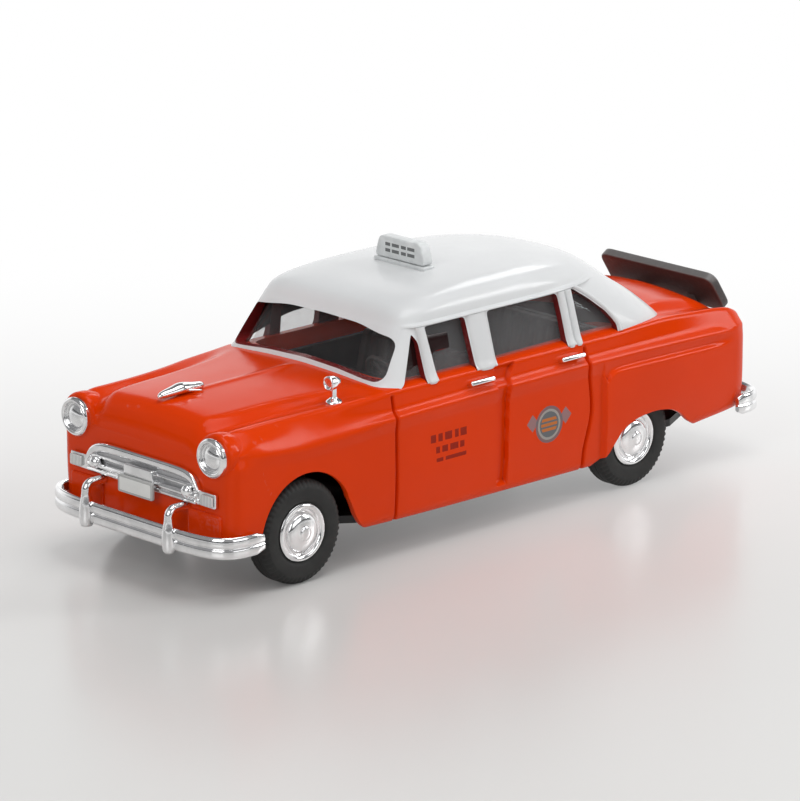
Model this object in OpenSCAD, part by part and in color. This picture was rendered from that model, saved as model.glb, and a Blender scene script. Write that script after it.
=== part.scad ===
// Toy taxi saloon, a die-cast style model car at about 1:43.
// Millimetres, +X to the front, +Y to the car's left, +Z up, origin on the
// floor under the middle of the car.

/* [Body] */
// Half of the body's width at the doors
body_half_width = 19.7; // [18:0.1:22]
// Front face of the nose, from the middle of the car
nose_x = 55.0; // [53:0.1:56]
// Rear face of the tail, from the middle of the car
tail_x = -57.0; // [-62:0.1:-54]
// Height of the sills above the floor
sill_z = 5.5; // [4.6:0.1:6.6]
// Height of the seam between the body and the roof
belt_z = 26.2; // [25:0.1:28]
// Rise of the hood's middle above the seam
hood_rise = 0.9; // [0.4:0.1:1.6]
// Rise of the boot lid's middle above the seam
boot_rise = 1.6; // [1:0.1:2.2]
// Wall of the cast body
body_wall = 1.3; // [1:0.1:1.8]
// Bulge of the rear wings beyond the doors
wing_bulge = 0.7; // [0.3:0.1:1.2]
// Front edge of the bulged rear wings
wing_edge_x = -21.6; // [-23:0.1:-20.5]
// Depth of the door lines
door_line_depth = 0.45; // [0.3:0.05:0.7]
// Width of the door lines
door_line_width = 0.55; // [0.4:0.05:0.8]
// Door line behind the front wings
front_door_x = 22.1; // [21:0.1:23]
// Middle of the post between the doors
door_post_x = 0.35; // [-0.5:0.05:1.2]
// Width of the sunk post between the doors
door_post_width = 1.7; // [1.2:0.1:2.2]
// Door line ahead of the rear wings
rear_door_x = -19.1; // [-19.8:0.1:-18]

/* [Roof] */
// Top of the roof
roof_z = 38.9; // [37:0.1:41]
// Height of the rain gutter
gutter_z = 34.3; // [33.5:0.1:35]
// Half of the roof's width at the seam
roof_half_width = 18.2; // [17.6:0.1:18.8]
// Half of the roof's width at the gutter
gutter_half_width = 16.3; // [15.5:0.1:17]
// Foot of the windscreen at the middle of the car
screen_foot_x = 24.0; // [23:0.1:25]
// Foot of the rear window at the middle of the car
rear_foot_x = -40.5; // [-42:0.1:-39]
// Wall of the roof
roof_wall = 1.1; // [0.8:0.1:1.4]
// Thickness of the clear glazing insert
glass_wall = 0.6; // [0.4:0.1:0.9]

/* [Wheels] */
// Front axle, from the middle of the car
front_axle_x = 41.0; // [40:0.1:42]
// Distance between the axles
wheelbase = 71.2; // [70:0.1:72.4]
// Radius of the tyres
tyre_r = 8.0; // [7.4:0.1:8.1]
// Width of the tyres
tyre_width = 4.4; // [3.6:0.1:5]
// Radius of the rims under the tyres
rim_r = 4.5; // [4:0.1:5]
// Middle of the car to the outer face of a front tyre
front_track_half = 19.3; // [18.8:0.1:19.6]
// Middle of the car to the outer face of a rear tyre
rear_track_half = 18.8; // [18.2:0.1:19]
// Radius of the steel axles
axle_r = 0.9; // [0.7:0.05:1.1]
// Room round the axles in their bearings
axle_room = 0.08; // [0.05:0.01:0.1]
// Radius of the front wheel arches
front_arch_r = 9.05; // [8.9:0.05:9.4]
// Height of the rear wheel arches above the floor
rear_arch_z = 12.1; // [11.5:0.1:13]

/* [Bumpers and grille] */
// Front face of the front bumper blade
front_bumper_x = 58.9; // [58.4:0.1:60]
// Rear face of the rear bumper blade
rear_bumper_x = -59.85; // [-60.5:0.05:-59.2]
// Height of the bumper blades
bumper_height = 3.4; // [2.8:0.1:4]
// Middle of the bumper blades above the floor
bumper_z = 8.8; // [8.4:0.1:9.4]
// Thickness of the bumper blades
bumper_depth = 1.1; // [0.9:0.1:1.4]
// Half of the bumpers' width
bumper_half_width = 20.8; // [20.4:0.1:21.8]
// Middle of the car to a bumper guard
guard_y = 9.4; // [8.5:0.1:10.5]
// Radius of the bumper guards
guard_r = 1.15; // [0.9:0.05:1.4]
// Half of the grille's width without its side lamps
grille_half_width = 12.7; // [11.8:0.1:13.2]
// Bottom of the grille
grille_z = 13.9; // [13.3:0.1:14.4]
// Height of the grille's arch
grille_height = 5.1; // [4.6:0.1:5.8]
// How far the grille's lower bar stands out from the nose
grille_bar_depth = 1.2; // [0.9:0.05:1.4]
// Width of the box in the middle of the grille
grille_box_width = 6.4; // [5:0.1:7.4]
// Width of the number plate
plate_width = 7.8; // [6.5:0.1:9]
// Height of the number plate
plate_height = 2.7; // [2.2:0.1:3.2]

/* [Lamps and trim] */
// Middle of the car to a headlamp
headlamp_y = 15.4; // [15:0.1:15.6]
// Height of the headlamps
headlamp_z = 21.7; // [21.4:0.1:21.9]
// Radius of the headlamp rims
headlamp_r = 3.0; // [2.6:0.1:3.1]
// Radius of the tail lamps
tail_lamp_r = 1.3; // [1:0.1:1.5]
// Distance of the tail lamps in from the side of the body
tail_lamp_in = 4.1; // [3.8:0.1:5]
// Length of the door handles
handle_length = 5.1; // [4:0.1:6]
// Length of the roof sign across the car
sign_length = 11.4; // [10:0.1:14]
// Height of the roof sign
sign_height = 3.7; // [3:0.1:5]
// Middle of the roof sign along the car
sign_x = 1.9; // [0:0.1:4]
// Width of the board over the boot
board_width = 25; // [21:0.2:29]
// Height of the board along its slope
board_height = 7.2; // [6.2:0.1:7.6]
// Thickness of the board
board_depth = 1.5; // [1.2:0.1:1.8]
// Lean of the board towards the cab, in degrees
board_lean = 33; // [28:1:35]

/* [Chassis and cabin] */
// Underside of the base plate above the floor
base_z = 5.9; // [5.6:0.1:6.4]
// Thickness of the base plate
base_depth = 1.2; // [0.9:0.1:1.6]
// Floor of the cabin tub
tub_z = 12.0; // [11.8:0.1:13]
// Half of the cabin tub's width
tub_half_width = 13.2; // [12.4:0.1:13.4]
// Thickness of the cabin tub
tub_wall = 0.9; // [0.7:0.1:1.2]
// Length of a seat from its back to its front edge
seat_length = 10.6; // [9:0.1:11.4]
// Height of the seat backs above the cabin floor
seat_height = 12.4; // [11:0.1:13]
// Depth of the dashboard
dash_depth = 3.3; // [2.6:0.1:3.8]
// Height of the dashboard
dash_height = 5.4; // [4.4:0.1:6]
// Radius of the steering wheel
steering_r = 3.1; // [2.6:0.1:3.6]
// Width of the irons that hold the bumpers
iron_width = 2.0; // [1.4:0.1:2.6]
// Radius of the base plate's screws
screw_r = 1.0; // [0.8:0.05:1.2]
// Room between pieces that are assembled together
fit_room = 0.06; // [0.03:0.01:0.12]

/* [Hidden] */
$fn = 48;

rear_axle_x = front_axle_x - wheelbase;
axle_z = tyre_r;
base_top_z = base_z + base_depth;
front_screw_x = 28.5;
rear_screw_x = -46.5;

// Curves through a few points, without overshoot

function step_at(p, i) = (p[i + 1][1] - p[i][1]) / (p[i + 1][0] - p[i][0]);

function lean_at(p, i) =
    i == 0 ? step_at(p, 0)
    : i == len(p) - 1 ? step_at(p, i - 1)
    : let (a = step_at(p, i - 1), b = step_at(p, i))
      a * b <= 0 ? 0 : 2 * a * b / (a + b);

function span_of(x, p, i = 0) =
    i >= len(p) - 2 || x <= p[i + 1][0] ? i : span_of(x, p, i + 1);

function curve(x, p) =
    let (i = span_of(x, p),
         h = p[i + 1][0] - p[i][0],
         t = min(1, max(0, (x - p[i][0]) / h)),
         a = lean_at(p, i) * h,
         b = lean_at(p, i + 1) * h)
    (1 + 2 * t) * (1 - t) * (1 - t) * p[i][1] + t * (1 - t) * (1 - t) * a
    + t * t * (3 - 2 * t) * p[i + 1][1] + t * t * (t - 1) * b;

// A path of [y, z, cut] points with each inner corner rounded off by its cut

function toward(a, b, d) =
    let (l = norm(b - a)) a + (b - a) * min(d / max(l, 0.001), 0.48);

function rounded(p, n) = [
    [p[0][0], p[0][1]],
    for (i = [1 : len(p) - 2])
        let (c = [p[i][0], p[i][1]],
             a = toward(c, [p[i - 1][0], p[i - 1][1]], p[i][2]),
             b = toward(c, [p[i + 1][0], p[i + 1][1]], p[i][2]))
        for (k = [0 : n])
            let (t = k / n)
            (1 - t) * (1 - t) * a + 2 * t * (1 - t) * c + t * t * b,
    [p[len(p) - 1][0], p[len(p) - 1][1]]];

// A solid through closed rings with the same count of points

module loft(rings) {
    n = len(rings[0]);
    m = len(rings);
    points = [for (r = rings) each r];
    faces = [
        [for (j = [0 : n - 1]) j],
        [for (j = [n - 1 : -1 : 0]) (m - 1) * n + j],
        for (i = [0 : m - 2], j = [0 : n - 1])
            let (k = (j + 1) % n)
            each [[i * n + j, (i + 1) * n + j, (i + 1) * n + k],
                  [i * n + j, (i + 1) * n + k, i * n + k]]];
    polyhedron(points = points, faces = faces, convexity = 8);
}

// An open-bottomed shell between two lofts that stand on the same plane

module hollow_loft(outer, inner) {
    n = len(outer[0]);
    m = len(outer);
    w = len(inner);
    o = m * n;
    points = [for (r = outer) each r, for (r = inner) each r];
    faces = [
        [for (j = [n - 1 : -1 : 0]) (m - 1) * n + j],
        [for (j = [0 : n - 1]) o + (w - 1) * n + j],
        for (i = [0 : m - 2], j = [0 : n - 1])
            let (k = (j + 1) % n)
            each [[i * n + j, (i + 1) * n + j, (i + 1) * n + k],
                  [i * n + j, (i + 1) * n + k, i * n + k]],
        for (i = [0 : w - 2], j = [0 : n - 1])
            let (k = (j + 1) % n)
            each [[o + i * n + j, o + (i + 1) * n + k, o + (i + 1) * n + j],
                  [o + i * n + j, o + i * n + k, o + (i + 1) * n + k]],
        for (j = [0 : n - 1])
            let (k = (j + 1) % n)
            each [[j, k, o + k], [j, o + k, o + j]]];
    polyhedron(points = points, faces = faces, convexity = 8);
}

// A strip with a [out, up] profile along a plan path, out being to the path's right

module strip(path, profile, z) {
    last = len(path) - 1;
    rings = [for (i = [0 : last])
        let (a = path[max(0, i - 1)],
             b = path[min(last, i + 1)],
             d = (b - a) / norm(b - a))
        [for (k = [len(profile) - 1 : -1 : 0]) let (q = profile[k])
            [path[i][0] + d[1] * q[0], path[i][1] - d[0] * q[0], z + q[1]]]];
    loft(rings);
}

module both_sides() {
    children();
    mirror([0, 1, 0]) children();
}

// Body lines, each a half width or a height along the car

W = body_half_width;
N = nose_x;
T = tail_x;

// Plan of the nose, as [x, half width]
nose_plan = [[N - 13.6, W], [N - 5, W], [N - 2.4, W - 0.05], [N - 1.58, W - 0.18],
    [N - 0.86, W - 0.6], [N - 0.56, W - 0.9], [N - 0.32, W - 1.25], [N - 0.08, W - 1.85],
    [N, W - 2.5]];

tail_plan = [[T, W - 5], [T + 0.4, W - 3.4], [T + 1.1, W - 1.8], [T + 2.2, W - 0.7],
    [T + 4.5, W], [T + 9, W + 0.35]];

function side_y(x) = curve(x, concat(tail_plan,
    [[wing_edge_x - 12, W + wing_bulge], [wing_edge_x - 0.5, W + wing_bulge],
     [wing_edge_x + 0.5, W - 0.05], [0, W - 0.1], [front_door_x, W]], nose_plan));

function sill_y(x) = side_y(x) - 0.35;

function lower_z(x) = curve(x, [[T, sill_z + 3.2], [T + 7, sill_z + 2.8],
    [T + 14, sill_z + 2.3], [rear_axle_x + 6, sill_z - 0.1], [0, sill_z],
    [front_axle_x - 14, sill_z + 0.4], [front_axle_x + 5, sill_z + 2],
    [N, sill_z + 2.7]]);

// Lower edge of the shoulder bevel
function bevel_y(x) = curve(x, [[T, W - 1.9], [T + 0.7, W - 0.9], [T + 2, W - 0.3],
    [T + 4, W + 0.1], [T + 12, W + 0.2], [wing_edge_x, W], [0, W - 0.15],
    [front_door_x, W - 0.1], [N - 8, W - 0.2], [N - 4, W - 0.3], [N - 2.4, W - 0.5],
    [N - 1.4, W - 0.95], [N - 0.7, W - 1.6], [N - 0.25, W - 2.4], [N, W - 3.2]]);

function bevel_z(x) = curve(x, [[T, belt_z - 6], [T + 1.5, belt_z - 4.8],
    [T + 8, belt_z - 4.4], [wing_edge_x, belt_z - 3.9], [0, belt_z - 4],
    [front_door_x, belt_z - 4.3], [N - 14.6, belt_z - 4.6], [N - 3.6, belt_z - 3.9],
    [N - 1, belt_z - 4.2], [N - 0.3, belt_z - 4.9], [N, belt_z - 5.7]]);

// Crest of the wings
function crest_y(x) = curve(x, [[T, W - 6], [T + 0.8, W - 3.9], [T + 2.4, W - 2.3],
    [T + 5, W - 1.8], [T + 12, W - 1.5], [T + 21, W - 1.2], [wing_edge_x, W - 0.8],
    [front_door_x, W - 0.9], [N - 14.6, W - 1.3], [N - 5, W - 1.8], [N - 3, W - 2.5],
    [N - 1.8, W - 3.3], [N - 0.9, W - 4], [N - 0.3, W - 4.6], [N, W - 5]]);

function crest_z(x) = curve(x, [[T, belt_z - 5.3], [T + 0.8, belt_z - 3.5],
    [T + 2.4, belt_z - 2.1], [T + 5, belt_z - 1.1], [T + 12, belt_z - 0.5],
    [T + 21, belt_z - 0.1], [wing_edge_x, belt_z - 0.5], [front_door_x, belt_z - 0.4],
    [N - 14.6, belt_z - 0.9], [N - 5, belt_z - 1.3], [N - 2.6, belt_z - 1.5],
    [N - 1.4, belt_z - 2], [N - 0.6, belt_z - 3], [N - 0.2, belt_z - 4.2], [N, belt_z - 5.2]]);

// Valley between the wings and the hood or boot
function valley_y(x) = curve(x, [[T, W - 9], [T + 1.6, W - 7.4], [T + 5, W - 6],
    [T + 12, W - 5.4], [T + 21, W - 4.6], [wing_edge_x, W - 2], [front_door_x, W - 2],
    [N - 24.6, W - 5], [N - 14.6, W - 6.3], [N - 7, W - 6.6], [N - 3, W - 7.2],
    [N - 1.4, W - 7.8], [N, W - 8.4]]);

function valley_z(x) = curve(x, [[T, belt_z - 5.3], [T + 1.6, belt_z - 3.5],
    [T + 5, belt_z - 2.2], [T + 12, belt_z - 1.2], [T + 21, belt_z - 0.2],
    [wing_edge_x, belt_z], [front_door_x, belt_z], [N - 24.6, belt_z - 0.8],
    [N - 14.6, belt_z - 1.5], [N - 5, belt_z - 1.9], [N - 2.4, belt_z - 2.1],
    [N - 1.2, belt_z - 2.7], [N - 0.5, belt_z - 3.6], [N, belt_z - 5]]);

// Edge of the hood and of the boot lid
function lid_y(x) = curve(x, [[T, W - 12], [T + 2, W - 10], [T + 5, W - 8.4],
    [T + 12, W - 7.7], [T + 21, W - 7], [wing_edge_x, W - 6], [front_door_x, W - 5.5],
    [N - 24.6, W - 7], [N - 14.6, W - 8.2], [N - 7, W - 8.6], [N - 3, W - 9.2],
    [N - 1.4, W - 9.8], [N, W - 10.4]]);

function lid_z(x) = crown_z(x) - curve(x, [[T, 0.2], [T + 5, 0.9], [T + 21, 0.9],
    [0, 0.3], [front_door_x, 0.5], [N - 14.6, 0.6], [N - 3, 0.5], [N - 1, 0.35],
    [N, 0.15]]);

// Middle line of the hood, the deck and the boot lid
function crown_z(x) = curve(x, [[T, belt_z - 5.2], [T + 0.6, belt_z - 4.2],
    [T + 2, belt_z - 2.4], [T + 4, belt_z - 0.9], [T + 7, belt_z + 0.3],
    [T + 11, belt_z + boot_rise * 0.65], [T + 16, belt_z + boot_rise],
    [T + 22, belt_z + boot_rise + 0.2], [0, belt_z + 0.5],
    [front_door_x, belt_z + hood_rise], [N - 14.6, belt_z + hood_rise - 0.2],
    [N - 6.6, belt_z + hood_rise - 0.4], [N - 3.4, belt_z + hood_rise - 0.6],
    [N - 2.2, belt_z + hood_rise - 1.1], [N - 1.2, belt_z + hood_rise - 2.1],
    [N - 0.5, belt_z + hood_rise - 3.5], [N - 0.15, belt_z + hood_rise - 4.8],
    [N, belt_z + hood_rise - 5.8]]);

function half_section(x, n) = rounded([
    [sill_y(x) - 0.5, lower_z(x), 0],
    [sill_y(x), lower_z(x) + 0.7, 0.5],
    [side_y(x), 12.5, 3],
    [side_y(x), bevel_z(x) - 1.5, 1.4],
    [bevel_y(x), bevel_z(x), 0.9],
    [crest_y(x), crest_z(x), 1.3],
    [valley_y(x), valley_z(x), 1.3],
    [lid_y(x), lid_z(x), 2.2],
    [lid_y(x) * 0.5, lid_z(x) + (crown_z(x) - lid_z(x)) * 0.75, 4],
    [0, crown_z(x), 0]], n);

function body_ring(x, n) =
    let (h = half_section(x, n), m = len(h))
    [for (q = h) [x, q[0], q[1]],
     for (i = [m - 2 : -1 : 0]) [x, -h[i][0], h[i][1]]];

body_stations = concat(
    [for (d = [0, 0.25, 0.7, 1.3, 2.2, 3.4, 5, 7.5, 11, 16, 22]) T + d],
    [wing_edge_x - 6, wing_edge_x - 0.6, wing_edge_x, wing_edge_x + 0.6],
    [for (x = [-14, -4, 6, 15]) x],
    [front_door_x, front_door_x + 3, front_door_x + 7],
    [for (d = [19.6, 14.6, 10, 6.6, 4.4, 3.2, 2.3, 1.6, 1.1, 0.7, 0.4, 0.2, 0.08, 0]) N - d]);

module body_outside() loft([for (x = body_stations) body_ring(x, 2)]);

// Inside of the cast shell, open at the bottom

cavity_stations = [for (d = [0, 1, 2.5, 5, 10, 18, 30]) T + body_wall + 0.6 + d,
    0, 20, for (d = [24, 16, 10, 6, 3.4, 1.8, 0.8, 0]) N - body_wall - 0.8 - d];

function cavity_ring(x) =
    let (s = x < 0 ? min(-0.01, x - body_wall - 0.5) : x + body_wall + 0.6,
         h = half_section(max(T, min(N, s)), 1),
         m = len(h),
         p = [for (i = [0 : m - 1])
             [max(h[i][0] - body_wall, 0) , i == 0 ? sill_z - 2
                 : min(h[i][1], h[m - 1][1]) - (i < 3 ? 0 : body_wall)]])
    [for (q = p) [x, q[0] + 0.001, q[1]],
     for (i = [m - 1 : -1 : 0]) [x, -p[i][0] - 0.001, p[i][1]]];

module body_inside() loft([for (x = cavity_stations) cavity_ring(x)]);

// Roof outline at one height, a box with round front and rear corners

roof_mid_x = -6;

function roof_w(z) = curve(z, [[belt_z, roof_half_width],
    [gutter_z, gutter_half_width], [gutter_z + 1.4, gutter_half_width - 0.35],
    [roof_z - 2.3, gutter_half_width - 0.95], [roof_z - 1.5, gutter_half_width - 1.9],
    [roof_z - 0.9, gutter_half_width - 3.6], [roof_z - 0.4, gutter_half_width - 7],
    [roof_z, gutter_half_width - 12]]);

function roof_front(z) = curve(z, [[belt_z, screen_foot_x],
    [gutter_z - 1, screen_foot_x - 4.7], [gutter_z, screen_foot_x - 5.5],
    [roof_z - 2.3, screen_foot_x - 7.6], [roof_z - 1.5, screen_foot_x - 10.4],
    [roof_z - 0.9, screen_foot_x - 14.5], [roof_z - 0.4, screen_foot_x - 19.5],
    [roof_z, screen_foot_x - 25]]);

function roof_rear(z) = curve(z, [[belt_z, rear_foot_x], [belt_z + 3.5, rear_foot_x + 3.2],
    [gutter_z, rear_foot_x + 9], [roof_z - 2.3, rear_foot_x + 12.8],
    [roof_z - 1.5, rear_foot_x + 15.6], [roof_z - 0.9, rear_foot_x + 19.2],
    [roof_z - 0.4, rear_foot_x + 24.5], [roof_z, rear_foot_x + 30]]);

function front_square(z) = curve(z, [[belt_z, 11], [gutter_z + 1, 11],
    [roof_z - 1.5, 6], [roof_z, 3]]);

function rear_square(z) = curve(z, [[belt_z, 6.4], [belt_z + 3, 4.6], [gutter_z - 1, 3.1],
    [roof_z - 1.5, 2.6], [roof_z, 2.4]]);

function power(v, e) = sign(v) * pow(abs(v), e);

// Rain gutter along the top of the side windows
gutter_out = 0.35;

function gutter_at(x) = curve(x, [[-26, 0], [-21, 1], [14, 1], [17.5, 0]]);

function roof_ring(z, inset, lift, n, gutter = 0) =
    let (w = roof_w(z) - inset, f = roof_front(z) - inset * 1.25,
         r = roof_rear(z) + inset * 1.25, a = front_square(z), b = rear_square(z))
    [for (k = [0 : n - 1])
        let (t = k * 360 / n, c = cos(t), s = sin(t), e = 2 / (c >= 0 ? a : b),
             x = roof_mid_x + power(c, e) * (c >= 0 ? f - roof_mid_x : roof_mid_x - r))
        [x, power(s, e) * (w + gutter * gutter_at(x)), z - lift]];

roof_heights = [[belt_z, 0], [belt_z + 4.5, 0], [gutter_z - 0.35, 0], [gutter_z - 0.2, gutter_out],
    [gutter_z + 0.2, gutter_out], [gutter_z + 0.35, 0], [roof_z - 3, 0], [roof_z - 2.3, 0],
    [roof_z - 1.85, 0], [roof_z - 1.5, 0], [roof_z - 1.2, 0], [roof_z - 0.9, 0],
    [roof_z - 0.6, 0], [roof_z - 0.3, 0], [roof_z, 0]];

lining_heights = [belt_z, belt_z + 4.5, gutter_z, roof_z - 2.4, roof_z - 1.5, roof_z - 0.9,
    roof_z - 0.4, roof_z];

function roof_rings(n) = [for (h = roof_heights) roof_ring(h[0], 0, 0, n, h[1])];

// The same form set in by a wall, for the roof's inside and the glazing
function lining_rings(inset, foot, n) = [for (z = lining_heights)
    roof_ring(z, inset, z == belt_z ? -foot : inset * curve(z, [[belt_z, 0],
        [gutter_z, 0.15], [roof_z - 1.5, 0.9], [roof_z, 1]]), n)];

// Outline of a side window as [x, z] points with rounded corners

module side_hole(p, r) {
    for (s = [0, 1]) mirror([0, s, 0]) translate([0, 30, 0]) rotate([90, 0, 0]) linear_extrude(25)
        hull() for (q = p) translate([q[0], q[1]]) circle(r, $fn = 12);
}

module window_holes() {
    // The side windows stand on the body, so their holes go through the roof's lower edge
    z0 = belt_z - 1;
    z1 = gutter_z - 0.9;
    // Quarter light ahead of the front window
    side_hole([[15.6, z1 - 0.6], [17.8, z0], [15.2, z0]], 0.3);
    // Front and rear door windows
    side_hole([[12.9, z1], [5.3, z1 + 0.1], [4.5, z0], [11.4, z0]], 0.4);
    side_hole([[-0.1, z1 + 0.1], [-13.7, z1], [-15.1, z0], [-1.2, z0]], 0.4);
    // Quarter window in the rear pillar
    side_hole([[-18, z1], [-18.8, z1], [-21.6, z1 - 2], [-24.6, z1 - 4.4], [-26.3, belt_z + 1],
        [-26.3, z0], [-19.2, z0]], 0.3);
    // Windscreen
    translate([8, 0, 0]) rotate([90, 0, 90]) linear_extrude(30)
        for (s = [-1, 1]) hull() {
            translate([s * 16, belt_z + 1.6]) circle(0.7, $fn = 12);
            translate([s * 15, gutter_z - 2]) circle(0.8, $fn = 12);
            for (y = [0, 6]) {
                translate([s * y, belt_z + 2.7]) circle(0.7, $fn = 12);
                translate([s * y, gutter_z - 1.1]) circle(0.8, $fn = 12);
            }
        }
    // Rear window
    translate([-22, 0, 0]) rotate([90, 0, -90]) linear_extrude(30)
        hull() for (s = [-1, 1]) {
            translate([s * 11.5, belt_z + 3.2]) circle(0.9, $fn = 12);
            translate([s * 9.8, gutter_z - 1.4]) circle(0.9, $fn = 12);
            translate([s * 5, gutter_z - 0.9]) circle(0.9, $fn = 12);
        }
}

module roof_seat() {
    o = roof_ring(belt_z, -fit_room, 0, 48);
    loft([o, [for (p = o) [p[0], p[1], belt_z + 8]]]);
}

// Cut from above for the cabin, inside the roof's foot

module cabin_hole() {
    o = roof_ring(belt_z, roof_wall + glass_wall + 0.9, 0, 32);
    loft([[for (p = o) [p[0], p[1], tub_z - 2]], [for (p = o) [p[0], p[1], belt_z + 6]]]);
}

// Wheel arch outlines as [x, z] points

module front_arch() {
    x = front_axle_x - 0.7;
    union() {
        translate([x, axle_z + 0.15]) circle(front_arch_r, $fn = 40);
        polygon([[x + 6, 0], [x + 8.9, axle_z + 1], [x, axle_z + 4], [x - 7.9, axle_z + 4.6],
            [x - 9.4, axle_z + 1.6], [x - 11, axle_z - 1.2], [x - 12.8, axle_z - 2.6],
            [x - 13.4, 0]]);
    }
}

module rear_arch() {
    x = rear_axle_x;
    h = rear_arch_z;
    polygon([[x + 10.6, 0], [x + 9.6, h - 6.4], [x + 7.4, h - 5.2], [x + 5.9, h - 3.6],
        [x + 4.1, h - 1.7], [x + 2, h - 0.7], [x, h - 0.25], [x - 3, h], [x - 6.2, h - 0.3],
        [x - 9, h - 1.4], [x - 11.2, h - 3.2], [x - 13.4, h - 4.4], [x - 14, 0]]);
}

module across(y0, y1) {
    for (s = [-1, 1])
        translate([0, s > 0 ? y1 : -y0, 0]) rotate([90, 0, 0]) linear_extrude(y1 - y0) children();
}

// A groove down the side of the body through [x, z] points

module side_groove(p, width, depth) {
    both_sides() for (i = [0 : len(p) - 2]) hull() for (q = [p[i], p[i + 1]]) {
        y = groove_y(q[0], q[1]);
        translate([q[0], y, q[1]]) rotate([90, 0, 0])
            translate([0, 0, -3]) cylinder(r = width / 2, h = 3 + depth, $fn = 8);
    }
}

// Height of the hood, the wings or the boot at one place
function deck_z(x, y) = let (h = half_section(x, 3))
    lookup(abs(y), [for (q = h) if (q[1] > bevel_z(x) + 0.3) q]);

function groove_y(x, z) = let (h = half_section(x, 3))
    lookup(z, [for (q = h) if (q[1] <= crest_z(x) - 0.1) [q[1], q[0]]]);

module body_shell() {
    color("orangered") difference() {
        union() {
            difference() {
                body_outside();
                body_inside();
            }
            // Round pods that the headlamps sit in
            both_sides() translate([N + 0.13, headlamp_y, headlamp_z]) rotate([0, -90, 0])
                rotate_extrude($fn = 28) polygon([[0, 0], [headlamp_r + 0.25, 0], [headlamp_r + 0.7, 0.3],
                    [headlamp_r + 0.95, 0.9], [headlamp_r + 0.9, 3], [headlamp_r + 0.3, 8], [0, 8]]);
            // Posts that the base plate's screws go into
            for (x = [front_screw_x, rear_screw_x])
                translate([x, 0, base_top_z + fit_room])
                    cylinder(r = screw_r + 1.1, h = crown_z(x) - 0.6 - base_top_z, $fn = 20);
        }
        for (x = [front_screw_x, rear_screw_x])
            translate([x, 0, base_z]) cylinder(r = screw_r + 0.1, h = 9, $fn = 20);
        roof_seat();
        cabin_hole();
        across(11, 30) front_arch();
        across(11, 30) rear_arch();
        // Room for the wheels inside the wings
        across(front_track_half - tyre_width - 1, front_track_half + 0.4)
            translate([front_axle_x, axle_z]) circle(tyre_r + 0.9, $fn = 28);
        across(rear_track_half - tyre_width - 1, rear_track_half + 0.5)
            translate([rear_axle_x, axle_z]) circle(tyre_r + 0.9, $fn = 28);
        // Door lines and the sunk post between the doors
        side_groove([[front_door_x, 4], [front_door_x, belt_z - 4], [front_door_x, belt_z - 1.2],
            [front_door_x, belt_z + 0.4]], door_line_width, door_line_depth);
        side_groove([[rear_door_x + 1, 4], [rear_door_x - 0.6, 14.5],
            [rear_door_x, belt_z - 4], [rear_door_x, belt_z - 1.4]],
            door_line_width, door_line_depth);
        side_groove([[door_post_x, 7.2], [door_post_x, belt_z - 4], [door_post_x, belt_z - 2.4]],
            door_post_width, door_line_depth);
        // Sockets for the headlamps
        both_sides() translate([N - 3.4, headlamp_y, headlamp_z]) rotate([0, 90, 0])
            cylinder(r = headlamp_r + fit_room, h = 6, $fn = 32);
        // Sockets for the tail lamps
        both_sides() translate([T - 1, W - tail_lamp_in, belt_z - 5.6]) rotate([0, 90, 0])
            cylinder(r = tail_lamp_r + fit_room, h = 2.4, $fn = 32);
    }
}

module roof_shell() {
    color("white") difference() {
        hollow_loft(roof_rings(44), lining_rings(roof_wall, 0, 44));
        window_holes();
    }
}

module glazing() {
    color("lightslategray", 0.5)
        hollow_loft(lining_rings(roof_wall + fit_room, 0.02, 44),
            lining_rings(roof_wall + fit_room + glass_wall, 0.02, 44));
}

module base_plate() {
    axles = [front_axle_x, rear_axle_x];
    waist = min(front_track_half, rear_track_half) - tyre_width - 1.2;
    color("dimgray") difference() {
        union() {
            translate([0, 0, base_z]) linear_extrude(base_depth) base_outline(waist);
            // Bearing blocks for the axles
            for (x = axles) translate([x - 2.6, -waist, base_z])
                cube([5.2, waist * 2, axle_z - base_z + axle_r + 1.2]);
        }
        for (x = axles) translate([x, 30, axle_z]) rotate([90, 0, 0])
            cylinder(r = axle_r + axle_room, h = 60);
        // Screw holes, with room for the heads
        for (x = [front_screw_x, rear_screw_x]) translate([x, 0, base_z - 1]) {
            cylinder(r = screw_r + 0.12, h = base_depth + 2);
            cylinder(r = screw_r * 1.8 + 0.12, h = 1 + base_depth * 0.55 + 0.02);
        }
    }
}

module base_outline(waist) {
    side = W - body_wall - 1.9;
    polygon([[N - 3.6, -9], [N - 3.6, 9], [front_axle_x + 9.4, waist], [front_axle_x - 9.6, waist],
        [front_axle_x - 14, side], [rear_axle_x + 11, side], [rear_axle_x + 9.6, waist],
        [rear_axle_x - 14, waist], [T + 4.5, 9], [T + 4.5, -9], [rear_axle_x - 14, -waist],
        [rear_axle_x + 9.6, -waist], [rear_axle_x + 11, -side], [front_axle_x - 14, -side],
        [front_axle_x - 9.6, -waist], [front_axle_x + 9.4, -waist]]);
}

module base_screws() {
    color("gray") for (x = [front_screw_x, rear_screw_x]) translate([x, 0, 0]) {
        translate([0, 0, base_z]) cylinder(r = screw_r * 1.8, h = base_depth * 0.55);
        translate([0, 0, base_z + 0.1]) cylinder(r = screw_r, h = base_depth + 5);
    }
}

// Cabin

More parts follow.
